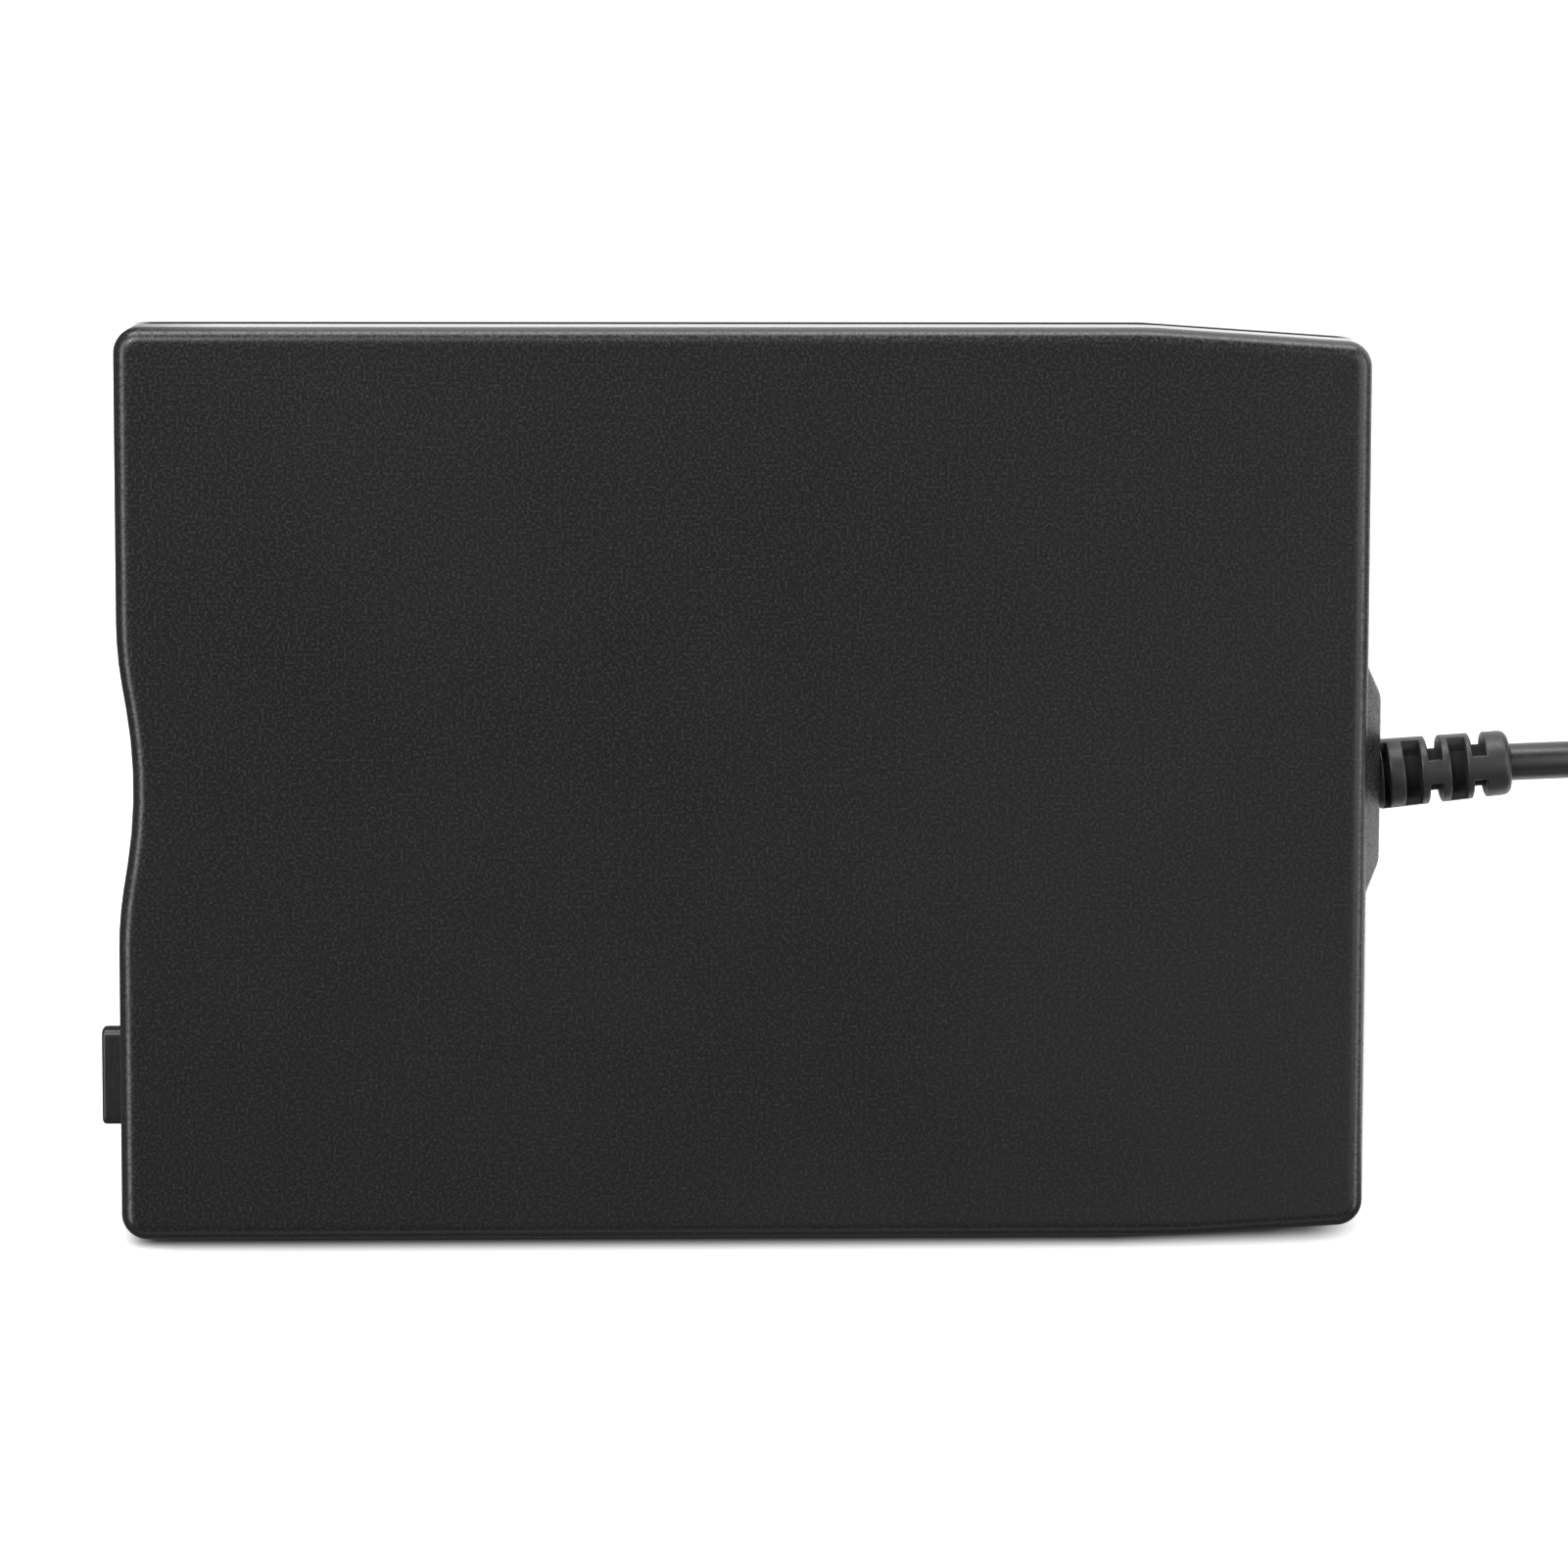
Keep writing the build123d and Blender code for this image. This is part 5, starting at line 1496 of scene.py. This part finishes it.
    def body_rings(self) -> list[list[Point]]:
        """The rings of the slotted part, from its root to its tip.

        Returns:
            The rings.
        """
        rings = [self.slotted(0.0, Slot.WHOLE)]
        starts = [0.0] + [slot[1] for slot in self.SLOTS]
        ends = [slot[0] for slot in self.SLOTS] + [self.length]
        for number, (start, end) in enumerate(zip(starts, ends)):
            edge = min(self.edge, (end - start) / self.roundings)
            if number:
                before = self.SLOTS[number - 1][2]
                for share in reversed(self.EDGE_STEPS):
                    rings.append(self.rounded(start + edge * (1 - share), edge, share, before))
            if number == len(self.SLOTS):
                for share in self.TIP_STEPS:
                    along = end - self.tip_edge * (1 - share)
                    rings.append(self.rounded(along, self.tip_edge, share, Slot.WHOLE))
                continue
            after = self.SLOTS[number][2]
            for share in self.EDGE_STEPS:
                rings.append(self.rounded(end - edge * (1 - share), edge, share, after))
            rings += [self.slotted(end, after), self.slotted(self.SLOTS[number][1], after)]
        rings.append(self.around(self.length, lambda turn: self.throat))
        return rings

    def build(self) -> Object:
        """Build and dress the sleeve, with its neck and its flange inside the wall.

        Returns:
            The sleeve.
        """
        neck = [self.around(y - self.root[1], lambda turn, r=r: r, straight=True) for y, r in self.NECK]
        obj = loft("strain_relief_look", neck + self.body_rings(), self.sharp)
        cleaned(obj, self.sharp)
        self.note_slot_shade(obj.data)
        coated(obj, "relief", self.paints)
        return handed_over(obj, "relief", "root", "strain_relief")

    def note_slot_shade(self, mesh: Mesh) -> None:
        """Write into the attribute "slot_shade" how far each point lies below the outside of the sleeve, for
        the painted shade in the slots.

        Args:
            mesh: The sleeve's mesh.
        """
        axis = Vector(self.axis).normalized()
        shallow, deep = self.shade_depths
        depths = []
        for vertex in mesh.vertices:
            offset = vertex.co / MM - Vector(self.root)
            along = offset.dot(axis)
            below = self.outer(along) - (offset - axis * along).length
            inside = 0.0 <= along <= self.length - self.plain_tip
            depths.append(min(1.0, max(0.0, (below - shallow) / (deep - shallow))) if inside else 0.0)
        note(mesh, "slot_shade", depths)


@dataclass(frozen=True)
class Coil:
    """Where the lead's coil lies on the desk, and where it is tied.

    Attributes:
        middle: Its middle.
        tied_at: Angle of the tie, in degrees.
        tie_radius: Distance of the tie from the middle.
        tie_span: Angle over which the strands rise into the tie, in degrees.
        tie_lift: How far they rise there.
    """

    middle: Pair = (-28.086, 130.0)
    tied_at: float = 215.0
    tie_radius: float = 24.1
    tie_span: float = 16.0
    tie_lift: float = 0.55


@dataclass
class Lead:
    """The lead as one curve: down to the desk, round the coil and on to the plug.

    TURNS has angles along the coil, in degrees, with the radius and the height that the lead has there.

    Attributes:
        paints: The finishes.
        coil: Where the coil lies.
        diameter: Thickness of the lead, in millimetres.
        length: Its whole length, in metres.
        step: Turn between two points of the coil, in degrees.
    """

    paints: Paintbox
    coil: Coil = field(default_factory=Coil)
    diameter: float = 4.3
    length: float = 0.70
    step: float = 12.0

    ROUTE = (
        (-1.786, 88.158, 9.5),
        (-2.036, 95.658, 9.1),
        (-1.986, 104.658, 6.6),
        (-1.686, 113.658, 3.4),
        (-1.736, 121.658, 2.2),
    )
    TAIL = (
        (-31.0, 160.4, 6.5),
        (-35.5, 159.4, 5.9),
        (-40.5, 157.4, 4.4),
        (-47.086, 156.8, 4.0),
        (-52.0, 156.8, 4.0),
    )
    TURNS = (
        (0, 26.3, 2.15),
        (318, 26.3, 2.15),
        (350, 21.9, 2.15),
        (660, 21.9, 2.15),
        (690, 21.9, 6.5),
        (1005, 21.9, 6.5),
        (1032, 26.3, 6.5),
        (1342, 26.3, 6.5),
        (1368, 24.1, 10.45),
        (1468, 24.1, 10.3),
        (1524, 29.9, 7.0),
    )

    def coil_points(self) -> list[Point]:
        """Points along the turns, with the strands changing places one after another.

        Returns:
            The points.
        """
        points = []
        count = int(self.TURNS[-1][0] / self.step)
        grow = 2 / (1 + math.cos(math.radians(self.step / 2)))
        for number in range(count + 1):
            turn = number * self.step
            before = max((k for k in self.TURNS if k[0] <= turn), key=lambda k: k[0])
            after = min((k for k in self.TURNS if k[0] >= turn), key=lambda k: k[0])
            span = after[0] - before[0]
            share = (turn - before[0]) / span if span else 0.0
            share = share * share * (3 - 2 * share)
            radius = before[1] + (after[1] - before[1]) * share
            height = before[2] + (after[2] - before[2]) * share
            away = (turn - self.coil.tied_at + 180) % 360 - 180
            height += self.coil.tie_lift * math.exp(-((away / self.coil.tie_span) ** 2))
            angle = math.radians(turn)
            x = self.coil.middle[0] + grow * radius * math.cos(angle)
            y = self.coil.middle[1] + grow * radius * math.sin(angle)
            points.append((x, y, height))
        return points

    def build(self, *on_it: Object) -> Object:
        """Args:
            on_it: The pieces that sit on it; not used.

        Returns:
            The lead.
        """
        curve = bpy.data.curves.new("usb_lead", "CURVE")
        curve.dimensions = "3D"
        curve.bevel_depth = self.diameter / 2 * MM
        curve.bevel_resolution = 10
        curve.use_fill_caps = True
        points = [*self.ROUTE, *self.coil_points(), *self.TAIL]
        spline = curve.splines.new("NURBS")
        spline.points.add(len(points) - 1)
        for target, point in zip(spline.points, points):
            target.co = (*metres(point), 1.0)
        spline.order_u = 3
        spline.use_endpoint_u = True
        spline.resolution_u = 6
        obj = link("usb_lead", curve)
        curve.materials.append(self.paints.get("lead"))
        handed_over(obj, "lead", "root", "usb_cable", "cable_coil", "cable_tail")
        return obj


@dataclass
class CableTie:
    """Flat tie round the coil, across its turns.

    Attributes:
        paints: The finishes.
        coil: The coil that it holds.
        height: Its height over the desk.
        half_width: Half its reach across the turns.
        width: Width of the band.
        thickness: Thickness of the band.
        radii: Outer and inner radius of its corners.
        soft: How much narrower its outside is at each edge.
        steps: Points in each corner.
    """

    paints: Paintbox
    coil: Coil = field(default_factory=Coil)
    height: float = 10.3
    half_width: float = 5.25
    width: float = 3.0
    thickness: float = 0.65
    radii: Pair = (2.6, 2.0)
    soft: float = 0.15
    steps: int = 10

    def build(self) -> Object:
        """Build the band.

        Returns:
            The tie.
        """
        across, up, thick = 2 * self.half_width, self.height, 2 * self.thickness
        outer = rounded_rectangle(across, up, self.radii[0], self.steps)
        inner = rounded_rectangle(across - thick, up - thick, self.radii[1], self.steps)
        turn = math.radians(self.coil.tied_at)
        out = Vector((math.cos(turn), math.sin(turn), 0))
        along = Vector((-out.y, out.x, 0))
        centre = Vector((*self.coil.middle, self.height / 2)) + out * self.coil.tie_radius
        half = self.width / 2
        soft = half - self.soft
        loops = []
        for shape, side in ((inner, half), (inner, -half), (outer, -soft), (outer, soft)):
            loops.append([tuple(centre + out * a + along * side + Vector((0, 0, b))) for a, b in shape])
        mesh = hoop("cable_tie_look", loops)
        smooth(mesh)
        obj = link("cable_tie_look", mesh)
        coated(obj, "rubber", self.paints)
        return handed_over(obj, "rubber", "root", "cable_tie")


# ---------------------------------------------------------------------------------------------------------
# Small parts
# ---------------------------------------------------------------------------------------------------------


@dataclass
class SmallParts:
    """Feet, screws and coil windings, stood in place by the pattern nodes.

    SOLE, HEAD and THREAD are profiles of (radius, height). RIDGE is the way across one wire.

    Attributes:
        paints: The finishes.
        pattern: The nodes.
        case_screw: Height of the case screws' heads, and the screws' length.
        drive_screw: The same for the screws that hold the drive unit.
        thread_pitch: Pitch of their threads.
        plain_end: Length at the end of a screw without thread.
        tip: Length and inset of its chamfered tip.
        cross: Half the length and half the width of the cross recess.
        cross_depth: Heights that its cutter lies between.
        coils: How many windings the motor has.
        coil_circle: Radius of the circle that they stand on.
        coil_middle: Middle of that circle, on the board.
        bore_radius: Radius inside a winding.
        wind_radius: Radius outside it.
        rows: Turns of wire in a winding.
        wind_heights: Height of its shoulders, of the wires' sides and of their tops.
        foot_steps: Faces around a foot.
        screw_steps: Faces around a screw.
        wire_steps: Faces around a winding.
    """

    paints: Paintbox
    pattern: Pattern
    case_screw: Pair = (1.8, 9.0)
    drive_screw: Pair = (1.2, 3.4)
    thread_pitch: float = 0.5
    plain_end: float = 0.4
    tip: Pair = (0.2, 0.3)
    cross: Pair = (0.82, 0.15)
    cross_depth: Pair = (-0.3, 0.5)
    coils: int = 9
    coil_circle: float = 14.5
    coil_middle: Point = (0.0, -19.0, 4.4)
    bore_radius: float = 1.8
    wind_radius: float = 4.4
    rows: int = 12
    wind_heights: Point = (0.45, 0.5, 0.6)
    foot_steps: int = 64
    screw_steps: int = 32
    wire_steps: int = 40

    SOLE = (
        (1.2, 0.12), (2.6, 0.05), (3.4, 0.0), (3.8, 0.02),
        (4.15, 0.12), (4.38, 0.32), (4.5, 0.6), (4.5, 1.5),
    )
    HEAD = ((0.9, 0.0), (1.35, 0.05), (1.62, 0.18), (1.76, 0.38), (1.8, 0.6), (1.8, 0.8), (0.98, 0.8))
    THREAD = ((0.8, 0.1), (0.98, 0.3), (0.98, 0.38), (0.8, 0.58))
    RIDGE = (0.1, 0.5, 0.9)

    def place(self, node: str, piece: Object, places: Sequence[Pair], height: float, slot: str) -> Object:
        """Stand copies of a piece and dress them as one object that stands for a node.

        Args:
            node: The CAD node.
            piece: The piece, around the origin.
            places: Where the copies go.
            height: The height that they stand at.
            slot: Their material slot.

        Returns:
            The object.
        """
        points = [(x, y, height) for x, y in places]
        obj = self.pattern.stand(node + "_look", piece, points, self.paints.get(slot))
        smooth(obj.data)
        return handed_over(obj, slot, "root", node)

    def foot(self) -> Object:
        """A round rubber foot with a soft edge and a shallow dished sole."""
        return turned("foot", self.SOLE, self.foot_steps)

    def screw(self, length: float) -> Object:
        """A pan head screw with a cross recess, its head down at height 0.

        Args:
            length: Length below the head.

        Returns:
            The screw.
        """
        neck = self.HEAD[-1][1]
        core = self.THREAD[0][0]
        thread = []
        for number in range(int((length - self.plain_end) / self.thread_pitch)):
            base = neck + number * self.thread_pitch
            thread += [(radius, base + height) for radius, height in self.THREAD]
        tip = [(core, neck + length - self.tip[0]), (core - self.tip[1], neck + length)]
        obj = turned("screw", [*self.HEAD, *thread, *tip], self.screw_steps)
        low, high = self.cross_depth
        for a, b in (self.cross, self.cross[::-1]):
            combined(obj, block("cross", (-a, -b, low), (a, b, high)), "DIFFERENCE")
        cleaned(obj)
        return obj

    def winding(self) -> Object:
        """A flat coil of wire.

        Returns:
            The winding, around the origin.
        """
        shoulder, side, crown = self.wind_heights
        step = (self.wind_radius - self.bore_radius) / self.rows
        ridges = []
        for row in range(self.rows):
            r = self.bore_radius + row * step
            ridges += [(r + step * share, z) for share, z in zip(self.RIDGE, (side, crown, side))]
        inside = [(self.bore_radius, 0.0), (self.bore_radius, shoulder)]
        outside = [(self.wind_radius, shoulder), (self.wind_radius, 0.0)]
        rings = circles([*inside, *ridges, *outside], self.wire_steps)
        return link("winding", hoop("winding", rings))

    def build(self) -> None:
        """Build every pattern."""
        self.place("rubber_feet", self.foot(), Case.FEET, 0.0, "rubber")
        height, length = self.case_screw
        self.place("case_screws", self.screw(length), Case.SCREWS, height, "screw")
        height, length = self.drive_screw
        self.place("drive_screws", self.screw(length), Case.DRIVE_SCREWS, height, "screw")
        x, y, height = self.coil_middle
        ring = [math.radians(360 * i / self.coils) for i in range(self.coils)]
        coils = [(x + self.coil_circle * math.cos(t), y + self.coil_circle * math.sin(t)) for t in ring]
        self.place("stator_coils", self.winding(), coils, height, "copper")


@dataclass
class Innards:
    """Every other CAD node: some get softened copies, the rest get finishes.

    DRESSED has node, slot, body and bevel of each copy.

    Attributes:
        paints: The finishes.
    """

    paints: Paintbox

    DRESSED = (
        ("front_panel", "panel", "root", 0.12),
        ("slot_door", "panel", "door", 0.15),
        ("eject_button", "button", "slider", 0.55),
        ("led_lens", "lens", "root", 0.15),
        ("plug_grip", "plug_grip", "root", 0.3),
        ("plug_shell", "plug_metal", "root", 0.06),
        ("plug_insert", "plug_core", "root", 0.1),
        ("plug_contacts", "contact", "root", 0.04),
        ("chassis_tray", "sheet_steel", "root", 0.0),
        ("top_shield", "sheet_steel", "root", 0.0),
        ("disk_holder", "sheet_steel", "holder", 0.0),
    )
    PAINTED = {
        "sheet_steel": "eject_slider release_lever rod_clamps screw_bearing rotor head_arm",
        "turned_steel": (
            "door_pin lever_post spindle_shaft drive_pin arm_pin guide_rods lead_screw chuck_hub"
        ),
        "spring": "door_spring slider_springs lever_spring",
        "cast": "head_carriage stepper_motor",
        "ferrite": "rotor_magnet",
        "bronze": "spindle_bearing",
        "board": "motor_board drive_board usb_board",
        "chip": "drive_chips usb_components track_sensor",
        "head": "lower_head upper_head",
        "flex": "head_flex",
        "ribbon": "ffc_ribbon",
        "white_moulding": "ribbon_sockets switch_block",
        "moulding": "protect_plunger disk_plunger density_plunger",
        "lens": "status_led",
        "wire": "cable_wires",
    }

    def dress(self) -> dict[str, Object]:
        """Stand in the softened copies."""
        return {row[0]: dressed(*row, self.paints) for row in self.DRESSED}

    def paint(self) -> None:
        """Give the nodes that stay as they are their finishes."""
        for slot, nodes in self.PAINTED.items():
            for node in nodes.split():
                coated(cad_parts[node], slot, self.paints)
                log.info("%s: %s", node, slot)


# ---------------------------------------------------------------------------------------------------------
# Studio
# ---------------------------------------------------------------------------------------------------------


@dataclass(frozen=True)
class Softbox:
    """A square area light.

    Attributes:
        name: Its name.
        place: Its middle, in metres.
        aim: The point that it faces.
        size: Its width and height.
        power: Its power, in watts.
    """

    name: str
    place: Point
    aim: Point
    size: Pair
    power: float

    def build(self) -> None:
        """Hang the light, facing its aim."""
        data = bpy.data.lights.new(self.name, "AREA")
        data.shape = "RECTANGLE"
        data.size, data.size_y = self.size
        data.energy = self.power
        obj = link(self.name, data)
        obj.location = self.place
        obj.rotation_euler = (Vector(self.aim) - Vector(self.place)).to_track_quat("-Z", "Y").to_euler()


@dataclass(frozen=True)
class ContactShadow:
    """The narrow shadow on the floor around the case. Its edges are ranges of X or Y, in millimetres.

    Attributes:
        near_side: Where it ends on the +X side.
        reach_at: Part of that side over which it grows wider.
        reach: Its width before and after.
        taper_at: Part of the -X side over which the case draws in.
        taper: How far it draws in.
        far_side: Where the shadow sets in on the -X side.
        near_front: Two ranges in which it sets in along the front, close to the +X side.
        far_front: The same along the rest of the front.
        front_change: Where one takes over from the other.
        corner: Where it sets in at the corner between front and -X side, as X + Y.
        near_rear: Two ranges in which it fades at the rear, on the +X side.
        rear_left: What the first of them leaves of it.
        far_rear: Where it fades at the rear, on the -X side.
        rear_change: Where one takes over from the other.
    """

    near_side: float = 57.2
    reach_at: Pair = (44.0, 68.0)
    reach: Pair = (2.0, 3.0)
    taper_at: Pair = (46.0, 71.0)
    taper: Pair = (0.0, 1.7)
    far_side: Pair = (-52.1, -51.83)
    near_front: tuple[Pair, Pair] = ((-76.0, -68.0), (-78.0, -70.0))
    far_front: Pair = (-72.0, -67.5)
    front_change: Pair = (50.0, 52.0)
    corner: Pair = (-124.5, -121.5)
    near_rear: tuple[Pair, Pair] = ((62.0, 67.0), (66.2, 76.2))
    rear_left: float = 0.94
    far_rear: Pair = (69.0, 72.5)
    rear_change: Pair = (-10.0, 10.0)

    def depth(self, g: Graph) -> NodeSocket:
        """How deep a point of the floor lies in the shadow.

        Args:
            g: The floor's material.

        Returns:
            The depth, from 0 to 1.
        """
        x, y = g.plan()
        reach = g.over(y, self.reach_at, metres(self.reach))
        gap = g.math("SUBTRACT", self.near_side * MM, x)
        near_side = g.fit(g.math("DIVIDE", gap, reach), RISE, RISE, SMOOTH)
        taper = g.over(y, self.taper_at, metres(self.taper))
        far_side = g.over(g.math("SUBTRACT", x, taper), self.far_side)
        first, second = self.near_front
        near_front = g.product(g.over(y, first, RISE, SMOOTH), g.over(y, second))
        far_front = g.over(y, self.far_front, RISE, SMOOTH)
        front = g.blend(g.over(x, self.front_change), far_front, near_front)
        front = g.product(front, g.over(g.math("ADD", x, y), self.corner))
        first, second = self.near_rear
        near_rear = g.product(g.over(y, first, (1.0, self.rear_left)), g.over(y, second, FALL, SMOOTH))
        rear = g.blend(g.over(x, self.rear_change), g.over(y, self.far_rear, FALL), near_rear)
        return g.product(g.product(near_side, far_side), g.product(front, rear))


@dataclass(frozen=True)
class Floor:
    """A pale floor that brightens to white for the camera, less so in the contact shadow.

    In reflections it glows white on a painted reflection patch behind the case and on its -X side, though no
    card or lamp stands there, and is painted dim in reflections elsewhere.

    Attributes:
        shadow: The contact shadow.
        half_size: Half its width, in millimetres.
        thickness: Its thickness, in millimetres.
        tones: Its darkest and lightest grey.
        cloud: Size of its blotches, in metres.
        in_shadow: Its grey in the contact shadow.
        in_mirror: Its grey in reflections.
        mirror_share: How far it takes on that grey.
        glow: Its glow under the case and far from it.
        glow_at: The distances that lie between, in metres.
        reflection_side: Where the painted reflection patch ends beside the case, as a range of X in
            millimetres.
        reflection_behind: Where it starts behind the case, as a range of Y.
        reflection_end: Where that part of it ends, as a range of X.
        reflection_front: Where it starts near the front, as a range of Y.
    """

    shadow: ContactShadow = field(default_factory=ContactShadow)
    half_size: float = 4000.0
    thickness: float = 5.0
    tones: Pair = (0.79, 0.81)
    cloud: float = 0.4
    in_shadow: float = 0.03
    in_mirror: float = 0.02
    mirror_share: float = 0.88
    glow: Pair = (0.74, 1.0)
    glow_at: Pair = (0.35, 1.4)
    reflection_side: Pair = (-60.0, -20.0)
    reflection_behind: Pair = (60.0, 75.0)
    reflection_end: Pair = (46.0, 54.0)
    reflection_front: Pair = (-75.0, -60.0)

    def build(self) -> None:
        """Lay the floor."""
        half = self.half_size
        obj = block("floor", (-half, -half, -self.thickness), (half, half, 0.0))
        g = Graph("floor")
        shadow = self.shadow.depth(g)
        pale = g.mix(g.noise(self.cloud), grey(self.tones[0]), grey(self.tones[1]))
        colour = g.mix(shadow, pale, grey(self.in_shadow))
        distance = g.add("ShaderNodeVectorMath", {"operation": "LENGTH"})
        g.join(distance.inputs[0], g.place)
        glow = g.fit(distance.outputs["Value"], self.glow_at, self.glow)
        rays = g.add("ShaderNodeLightPath").outputs
        glossy = rays["Is Glossy Ray"]
        # Painted reflection: the floor glows in reflections on a patch only, and is painted darker in
        # reflections off it.
        reflection_patch = self.painted_reflection_patch(g)
        dim = g.product(glossy, g.fit(reflection_patch, RISE, (self.mirror_share, 0.0)))
        colour = g.mix(dim, colour, grey(self.in_mirror))
        seen = g.maximum(rays["Is Camera Ray"], g.product(glossy, reflection_patch))
        lit = g.product(seen, g.product(glow, g.fit(shadow, RISE, FALL)))
        g.finish(Base_Color=colour, Roughness=0.85, Specular_IOR_Level=0.2)
        g.finish(Emission_Color=WHITE, Emission_Strength=lit)
        obj.data.materials.append(g.material)

    def painted_reflection_patch(self, g: Graph) -> NodeSocket:
        """Where the floor glows white in reflections, a painted reflection patch.

        Args:
            g: The floor's material.

        Returns:
            1 on the patch and 0 off it.
        """
        x, y = g.plan()
        behind = g.product(g.over(y, self.reflection_behind), g.over(x, self.reflection_end, FALL))
        reflection_patch = g.maximum(g.over(x, self.reflection_side, FALL), behind)
        return g.product(reflection_patch, g.over(y, self.reflection_front))


@dataclass
class Studio:
    """Floor, backdrop light, softboxes and camera.

    Attributes:
        camera_place: Where the camera stands, in metres.
        camera_aim: The point that it looks at.
        roll: How far it is turned about its own axis, in radians.
        focal: Its focal length, in pixels of the full picture.
        sensor: Width of its sensor, in millimetres.
        clip: Nearest distance that it sees, in metres.
        ambient: Strength of the even light from all round.
    """

    camera_place: Point = (-0.079046, -0.019614, 0.705464)
    camera_aim: Point = (-0.000364, 0.004441, 0.018)
    roll: float = 0.002
    focal: float = 6238.03
    sensor: float = 36.0
    clip: float = 0.01
    ambient: float = 0.13

    BOXES = (
        Softbox("low_side", (-1.25, 0.0, 0.32), (0, 0, 0.01), (1.7, 0.5), 20.0),
        Softbox("front_side", (-0.1, -1.05, 0.78), (0, 0, 0), (1.5, 0.5), 12.0),
        Softbox("rear_side", (-0.1, 1.05, 0.5), (0, 0, 0), (1.5, 0.36), 7.0),
        Softbox("glance", (-0.5, -0.35, 0.8), (0, 0, 0), (0.3, 0.3), 5.5),
        Softbox("rear_glance", (-0.15, 0.6, 0.75), (0, 0, 0), (0.6, 0.6), 2.5),
        Softbox("corner_glance", (0.3, 0.27, 0.9), (0.05, 0.06, 0.0), (0.3, 0.3), 0.13),
        Softbox("near_side", (1.2, 0.0, 0.55), (0, 0, 0), (1.8, 0.5), 1.5),
    )

    def backdrop(self) -> None:
        """World light: dim and even for the lighting, white where it is seen."""
        world = bpy.data.worlds.new("studio")
        bpy.context.scene.world = world
        world.use_nodes = True
        tree = world.node_tree
        background = tree.nodes["Background"]
        path = tree.nodes.new("ShaderNodeLightPath")
        seen = path.outputs["Is Camera Ray"]
        most = tree.nodes.new("ShaderNodeMath")
        most.operation = "MAXIMUM"
        tree.links.new(seen, most.inputs[0])
        tree.links.new(path.outputs["Is Transmission Ray"], most.inputs[1])
        level = tree.nodes.new("ShaderNodeMapRange")
        level.inputs["To Min"].default_value = self.ambient
        level.inputs["To Max"].default_value = 1.0
        tree.links.new(most.outputs[0], level.inputs["Value"])
        background.inputs["Color"].default_value = WHITE
        tree.links.new(level.outputs["Result"], background.inputs["Strength"])

    def camera(self) -> None:
        """The camera of the main view: high above the case, with -X up in the picture."""
        data = bpy.data.cameras.new("camera")
        data.sensor_width = self.sensor
        data.lens = self.focal / IMAGE_SIZE * self.sensor
        data.clip_start = self.clip
        obj = link("camera", data)
        ahead = (Vector(self.camera_aim) - Vector(self.camera_place)).normalized()
        right = ahead.cross(Vector((-1, 0, 0))).normalized()
        up = right.cross(ahead)
        across = right * math.cos(self.roll) + up * math.sin(self.roll)
        above = up * math.cos(self.roll) - right * math.sin(self.roll)
        turn = Matrix((across, above, -ahead)).transposed().to_4x4()
        obj.matrix_world = Matrix.Translation(self.camera_place) @ turn
        bpy.context.scene.camera = obj

    def build(self) -> None:
        """Set the whole studio up."""
        Floor().build()
        self.backdrop()
        self.camera()
        for box in self.BOXES:
            box.build()
        bpy.context.scene.view_settings.view_transform = "Standard"


def note_sizes() -> None:
    """Bring the view layer up to date."""
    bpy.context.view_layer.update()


def main() -> None:
    """Build every piece in order, then the studio."""
    logging.basicConfig(level=logging.INFO, format="%(name)s %(message)s")
    paints = Paintbox()
    Case(paints).build()
    relief = StrainRelief(paints).build()
    tie = CableTie(paints).build()
    innards = Innards(paints)
    pieces = innards.dress()
    plug = [pieces[node] for node in ("plug_grip", "plug_shell", "plug_insert", "plug_contacts")]
    Lead(paints).build(relief, tie, *plug)
    SmallParts(paints, Pattern()).build()
    innards.paint()
    note_sizes()
    Studio().build()


if __name__ == "__main__":
    main()
